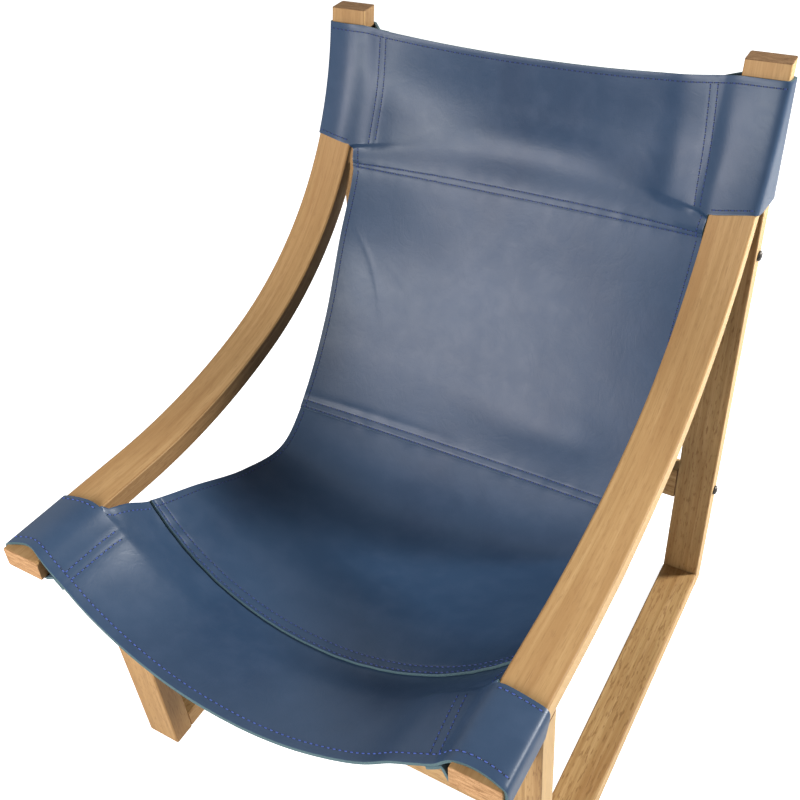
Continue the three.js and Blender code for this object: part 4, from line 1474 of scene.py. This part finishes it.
def stitch_row(places):
    """One row of thread: a rounded stitch at each place with a dark disc of painted shade, for the needle
    hole, at both its ends.
    """
    row = bmesh.new()
    thread_shape = Matrix.Diagonal((STITCH_LENGTH / 2, THREAD_WIDTH / 2, THREAD_WIDTH / 2, 1))
    hole_shape = Matrix.Diagonal((HOLE_RADIUS, HOLE_RADIUS, HOLE_RISE, 1))
    upright = Matrix.Rotation(math.pi / 2, 4, "Y")
    for point, along, out in places:
        aside = out.cross(along).normalized()
        turn = Matrix((
            (along.x, aside.x, out.x, point.x),
            (along.y, aside.y, out.y, point.y),
            (along.z, aside.z, out.z, point.z),
            (0, 0, 0, 1),
        ))
        bmesh.ops.create_uvsphere(
            row, u_segments=STITCH_SIDES, v_segments=STITCH_RINGS, radius=1.0,
            matrix=turn @ thread_shape @ upright,
        )
        for way in (-1, 1):
            hole = turn @ Matrix.Translation((way * STITCH_LENGTH / 2, 0, 0)) @ hole_shape
            bmesh.ops.create_uvsphere(
                row, u_segments=STITCH_SIDES, v_segments=HOLE_RINGS, radius=1.0, matrix=hole,
            )
    bmesh.ops.recalc_face_normals(row, faces=row.faces)
    # The discs of painted shade take the second material
    faces_each = len(row.faces) // max(len(places), 1)
    for index, face in enumerate(row.faces):
        if index % faces_each >= STITCH_FACES:
            face.material_index = 1
    return row


def sew(name, panel, paths, yarn=thread):
    """Thread of a panel: its rows of stitches as one piece."""
    mesh = bmesh.new()
    for path in paths:
        row = stitch_row(stitch_places(panel, path))
        data = bpy.data.meshes.new("stitch_row")
        row.to_mesh(data)
        row.free()
        mesh.from_mesh(data)
        bpy.data.meshes.remove(data)
    return finished(mesh, name, [yarn, painted_hole_shade])


# How finely the rows of stitches follow the leather
WIDE_ROW_STEPS = 400
SIDE_ROW_STEPS = 160
LOOP_ROW_STEPS = 120
FLAP_ROW_STEPS = 80

# Columns at which rows end: just inside the side edges, just on a loop, at the arm's far edge
SEAM_ROW_END = 0.985
LOOP_ROW_START = 1.01
SIDE_COLUMNS = len(top_loop(0, RIGHT))
FACE_END = 1 + (FACE_COLUMNS + CORNER_STEPS / 2) / SIDE_COLUMNS


def seam_paths(seam):
    return [
        row_across(before_seam(seam, inset), -SEAM_ROW_END, SEAM_ROW_END, WIDE_ROW_STEPS)
        for inset in SEAM_STITCHES[seam]
    ]


def flap_paths(start, end):
    paths = []
    for side in (RIGHT, LEFT):
        for inset in FLAP_STITCH_INSETS:
            paths.append([
                (station, side * (flap_end(station, side) + inset) / edge_at(station).x)
                for station in spread(start, end, FLAP_ROW_STEPS)
            ])
    return paths


def edge_column(station, side):
    return side * (1 - EDGE_STITCH_INSET / edge_at(station).x)


def side_paths(start, end):
    return [
        [(station, edge_column(station, side)) for station in spread(start, end, SIDE_ROW_STEPS)]
        for side in (RIGHT, LEFT)
    ]


def cross_path(station):
    return row_across(station, -FACE_END, FACE_END, WIDE_ROW_STEPS)


def loop_paths(station):
    return [
        row_across(station, side * LOOP_ROW_START, side * FACE_END, LOOP_ROW_STEPS)
        for side in (RIGHT, LEFT)
    ]


# Stations of the rows along the top and front edges, across the loops and at the flaps
TOP_EDGE_ROW = 0.11
TOP_LOOP_ROW = TOP_LOOP_END - 0.07
TOP_FLAP_ROWS = (0.12, TOP_LOOP_END - 0.03)
FRONT_EDGE_ROW = FRONT_EDGE - 0.12
FRONT_LOOP_ROW = FRONT_LOOP_START + 0.06
FRONT_FLAP_ROWS = (FRONT_LOOP_START + 0.05, FRONT_EDGE - 0.14)
HEAD_SIDE_START = TOP_LOOP_END + 0.1
BELOW_SEAM = 0.05

head_paths = seam_paths(HEAD_SEAM) + flap_paths(*TOP_FLAP_ROWS) + [cross_path(TOP_EDGE_ROW)]
head_paths += loop_paths(TOP_LOOP_ROW) + side_paths(HEAD_SIDE_START, HEAD_SEAM)
head_thread = sew("head_stitches", head, head_paths)
back_paths = seam_paths(LUMBAR_SEAM) + side_paths(HEAD_SEAM + BELOW_SEAM, LUMBAR_SEAM)
back_thread = sew("back_stitches", back, back_paths)
seat_paths = seam_paths(SEAT_SEAM) + side_paths(LUMBAR_SEAM + BELOW_SEAM, SEAT_SEAM)
seat_thread = sew("seat_stitches", seat, seat_paths)
front_paths = flap_paths(*FRONT_FLAP_ROWS) + [cross_path(FRONT_EDGE_ROW)]
front_paths += loop_paths(FRONT_LOOP_ROW)
front_paths += side_paths(SEAT_SEAM + BELOW_SEAM, FRONT_LOOP_START - BELOW_SEAM)
front_thread = sew("front_stitches", front, front_paths, front_edge_thread)

sewn = [(head, head_thread), (back, back_thread), (seat, seat_thread), (front, front_thread)]
for panel, stitches in sewn:
    flat, held, rests_on = panel.sheet
    min(panel.area, flat[0] * flat[1])
    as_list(rests_on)

# Camera, solved from the photo: its place, and which ways its right, its top and its back point

CAMERA_PLACE = (0.54866, -0.84017, 1.38506)
CAMERA_RIGHT = (0.862207, 0.501884, -0.068638)
CAMERA_UP = (-0.267333, 0.565923, 0.779913)
CAMERA_BACK = (0.430269, -0.654097, 0.622113)

camera_data = bpy.data.cameras.new("view")
camera_data.sensor_width = 36.0
camera_data.lens = 44.6097
camera_data.shift_x = -0.005923
camera_data.shift_y = -0.020933
camera_data.clip_end = 50.0
camera = bpy.data.objects.new("view", camera_data)
camera_turn = Matrix((CAMERA_RIGHT, CAMERA_UP, CAMERA_BACK)).transposed().to_4x4()
camera.matrix_world = Matrix.Translation(CAMERA_PLACE) @ camera_turn
bpy.context.scene.collection.objects.link(camera)
bpy.context.scene.camera = camera

# Light

LIGHT_CENTRE = Vector((0, 0, 0.45))
LAMP_DISTANCE = 3.0


def softbox(name, bearing, height, size, brightness, colour=(1, 1, 1)):
    """Square softbox, placed by its angle from +X towards +Y and its angle above the floor."""
    bearing, height = math.radians(bearing), math.radians(height)
    way = Vector((
        math.cos(bearing) * math.cos(height), math.sin(bearing) * math.cos(height), math.sin(height),
    ))
    data = bpy.data.lights.new(name, "AREA")
    data.shape = "SQUARE"
    data.size = size
    data.color = colour
    data.energy = brightness * size ** 2 * math.pi
    lamp = bpy.data.objects.new(name, data)
    lamp.location = LIGHT_CENTRE + way * LAMP_DISTANCE
    lamp.rotation_euler = (-way).to_track_quat("-Z", "Y").to_euler()
    bpy.context.scene.collection.objects.link(lamp)


softbox("key_box", 38, 24, 0.46, 205)
softbox("front_box", 270, 20, 0.9, 18)
softbox("left_front_box", 244, 30, 1.4, 10.0, (1.0, 0.95, 0.98))

# Room and floor

ROOM_FILL = 0.12
ROOM_SEEN = 1.0
FLOOR_DEPTH = 0.0004
FLOOR_REACH = 30
FLOOR_GLOW = 0.88


def make_room():
    """White to the camera and in reflections, and a soft fill light for the rest."""
    world = bpy.data.worlds.new("white_room")
    bpy.context.scene.world = world
    world.use_nodes = True
    room = Nodes(world.node_tree)
    fill = room.tree.nodes["Background"]
    room.feed(fill.inputs["Color"], (1, 1, 1, 1))
    room.feed(fill.inputs["Strength"], ROOM_FILL)
    seen = room.node("ShaderNodeBackground", {"Color": (1, 1, 1, 1), "Strength": ROOM_SEEN})
    rays = room.node("ShaderNodeLightPath").outputs
    direct = room.maths("MAXIMUM", rays["Is Camera Ray"], rays["Is Glossy Ray"])
    direct = room.maths("MAXIMUM", direct, rays["Is Transmission Ray"])
    shown = room.either(direct, fill.outputs["Background"], seen.outputs["Background"])
    room.feed(room.tree.nodes["World Output"].inputs["Surface"], shown)


def make_floor_finish():
    """Pale floor that looks white to the camera and still takes the chair's shadow."""
    finish = Finish("pale_floor")
    finish.set(Base_Color=(0.82, 0.82, 0.82, 1), Roughness=0.9, Specular_IOR_Level=0.1)
    bare = finish.shader.outputs["BSDF"]
    glow = finish.node("ShaderNodeEmission", {"Strength": FLOOR_GLOW})
    lit = finish.node("ShaderNodeAddShader")
    finish.feed(lit.inputs[0], bare)
    finish.feed(lit.inputs[1], glow.outputs["Emission"])
    rays = finish.node("ShaderNodeLightPath").outputs
    shown = finish.either(rays["Is Camera Ray"], bare, lit.outputs["Shader"])
    finish.feed(finish.output.inputs["Surface"], shown)
    return finish.material


def make_floor():
    mesh = bmesh.new()
    bmesh.ops.create_grid(mesh, x_segments=1, y_segments=1, size=FLOOR_REACH)
    data = bpy.data.meshes.new("floor")
    mesh.to_mesh(data)
    mesh.free()
    data.materials.append(make_floor_finish())
    floor = bpy.data.objects.new("floor", data)
    floor.location = (0, 0, -FLOOR_DEPTH)
    bpy.context.scene.collection.objects.link(floor)


make_room()
make_floor()

bpy.context.scene.view_settings.view_transform = "Standard"
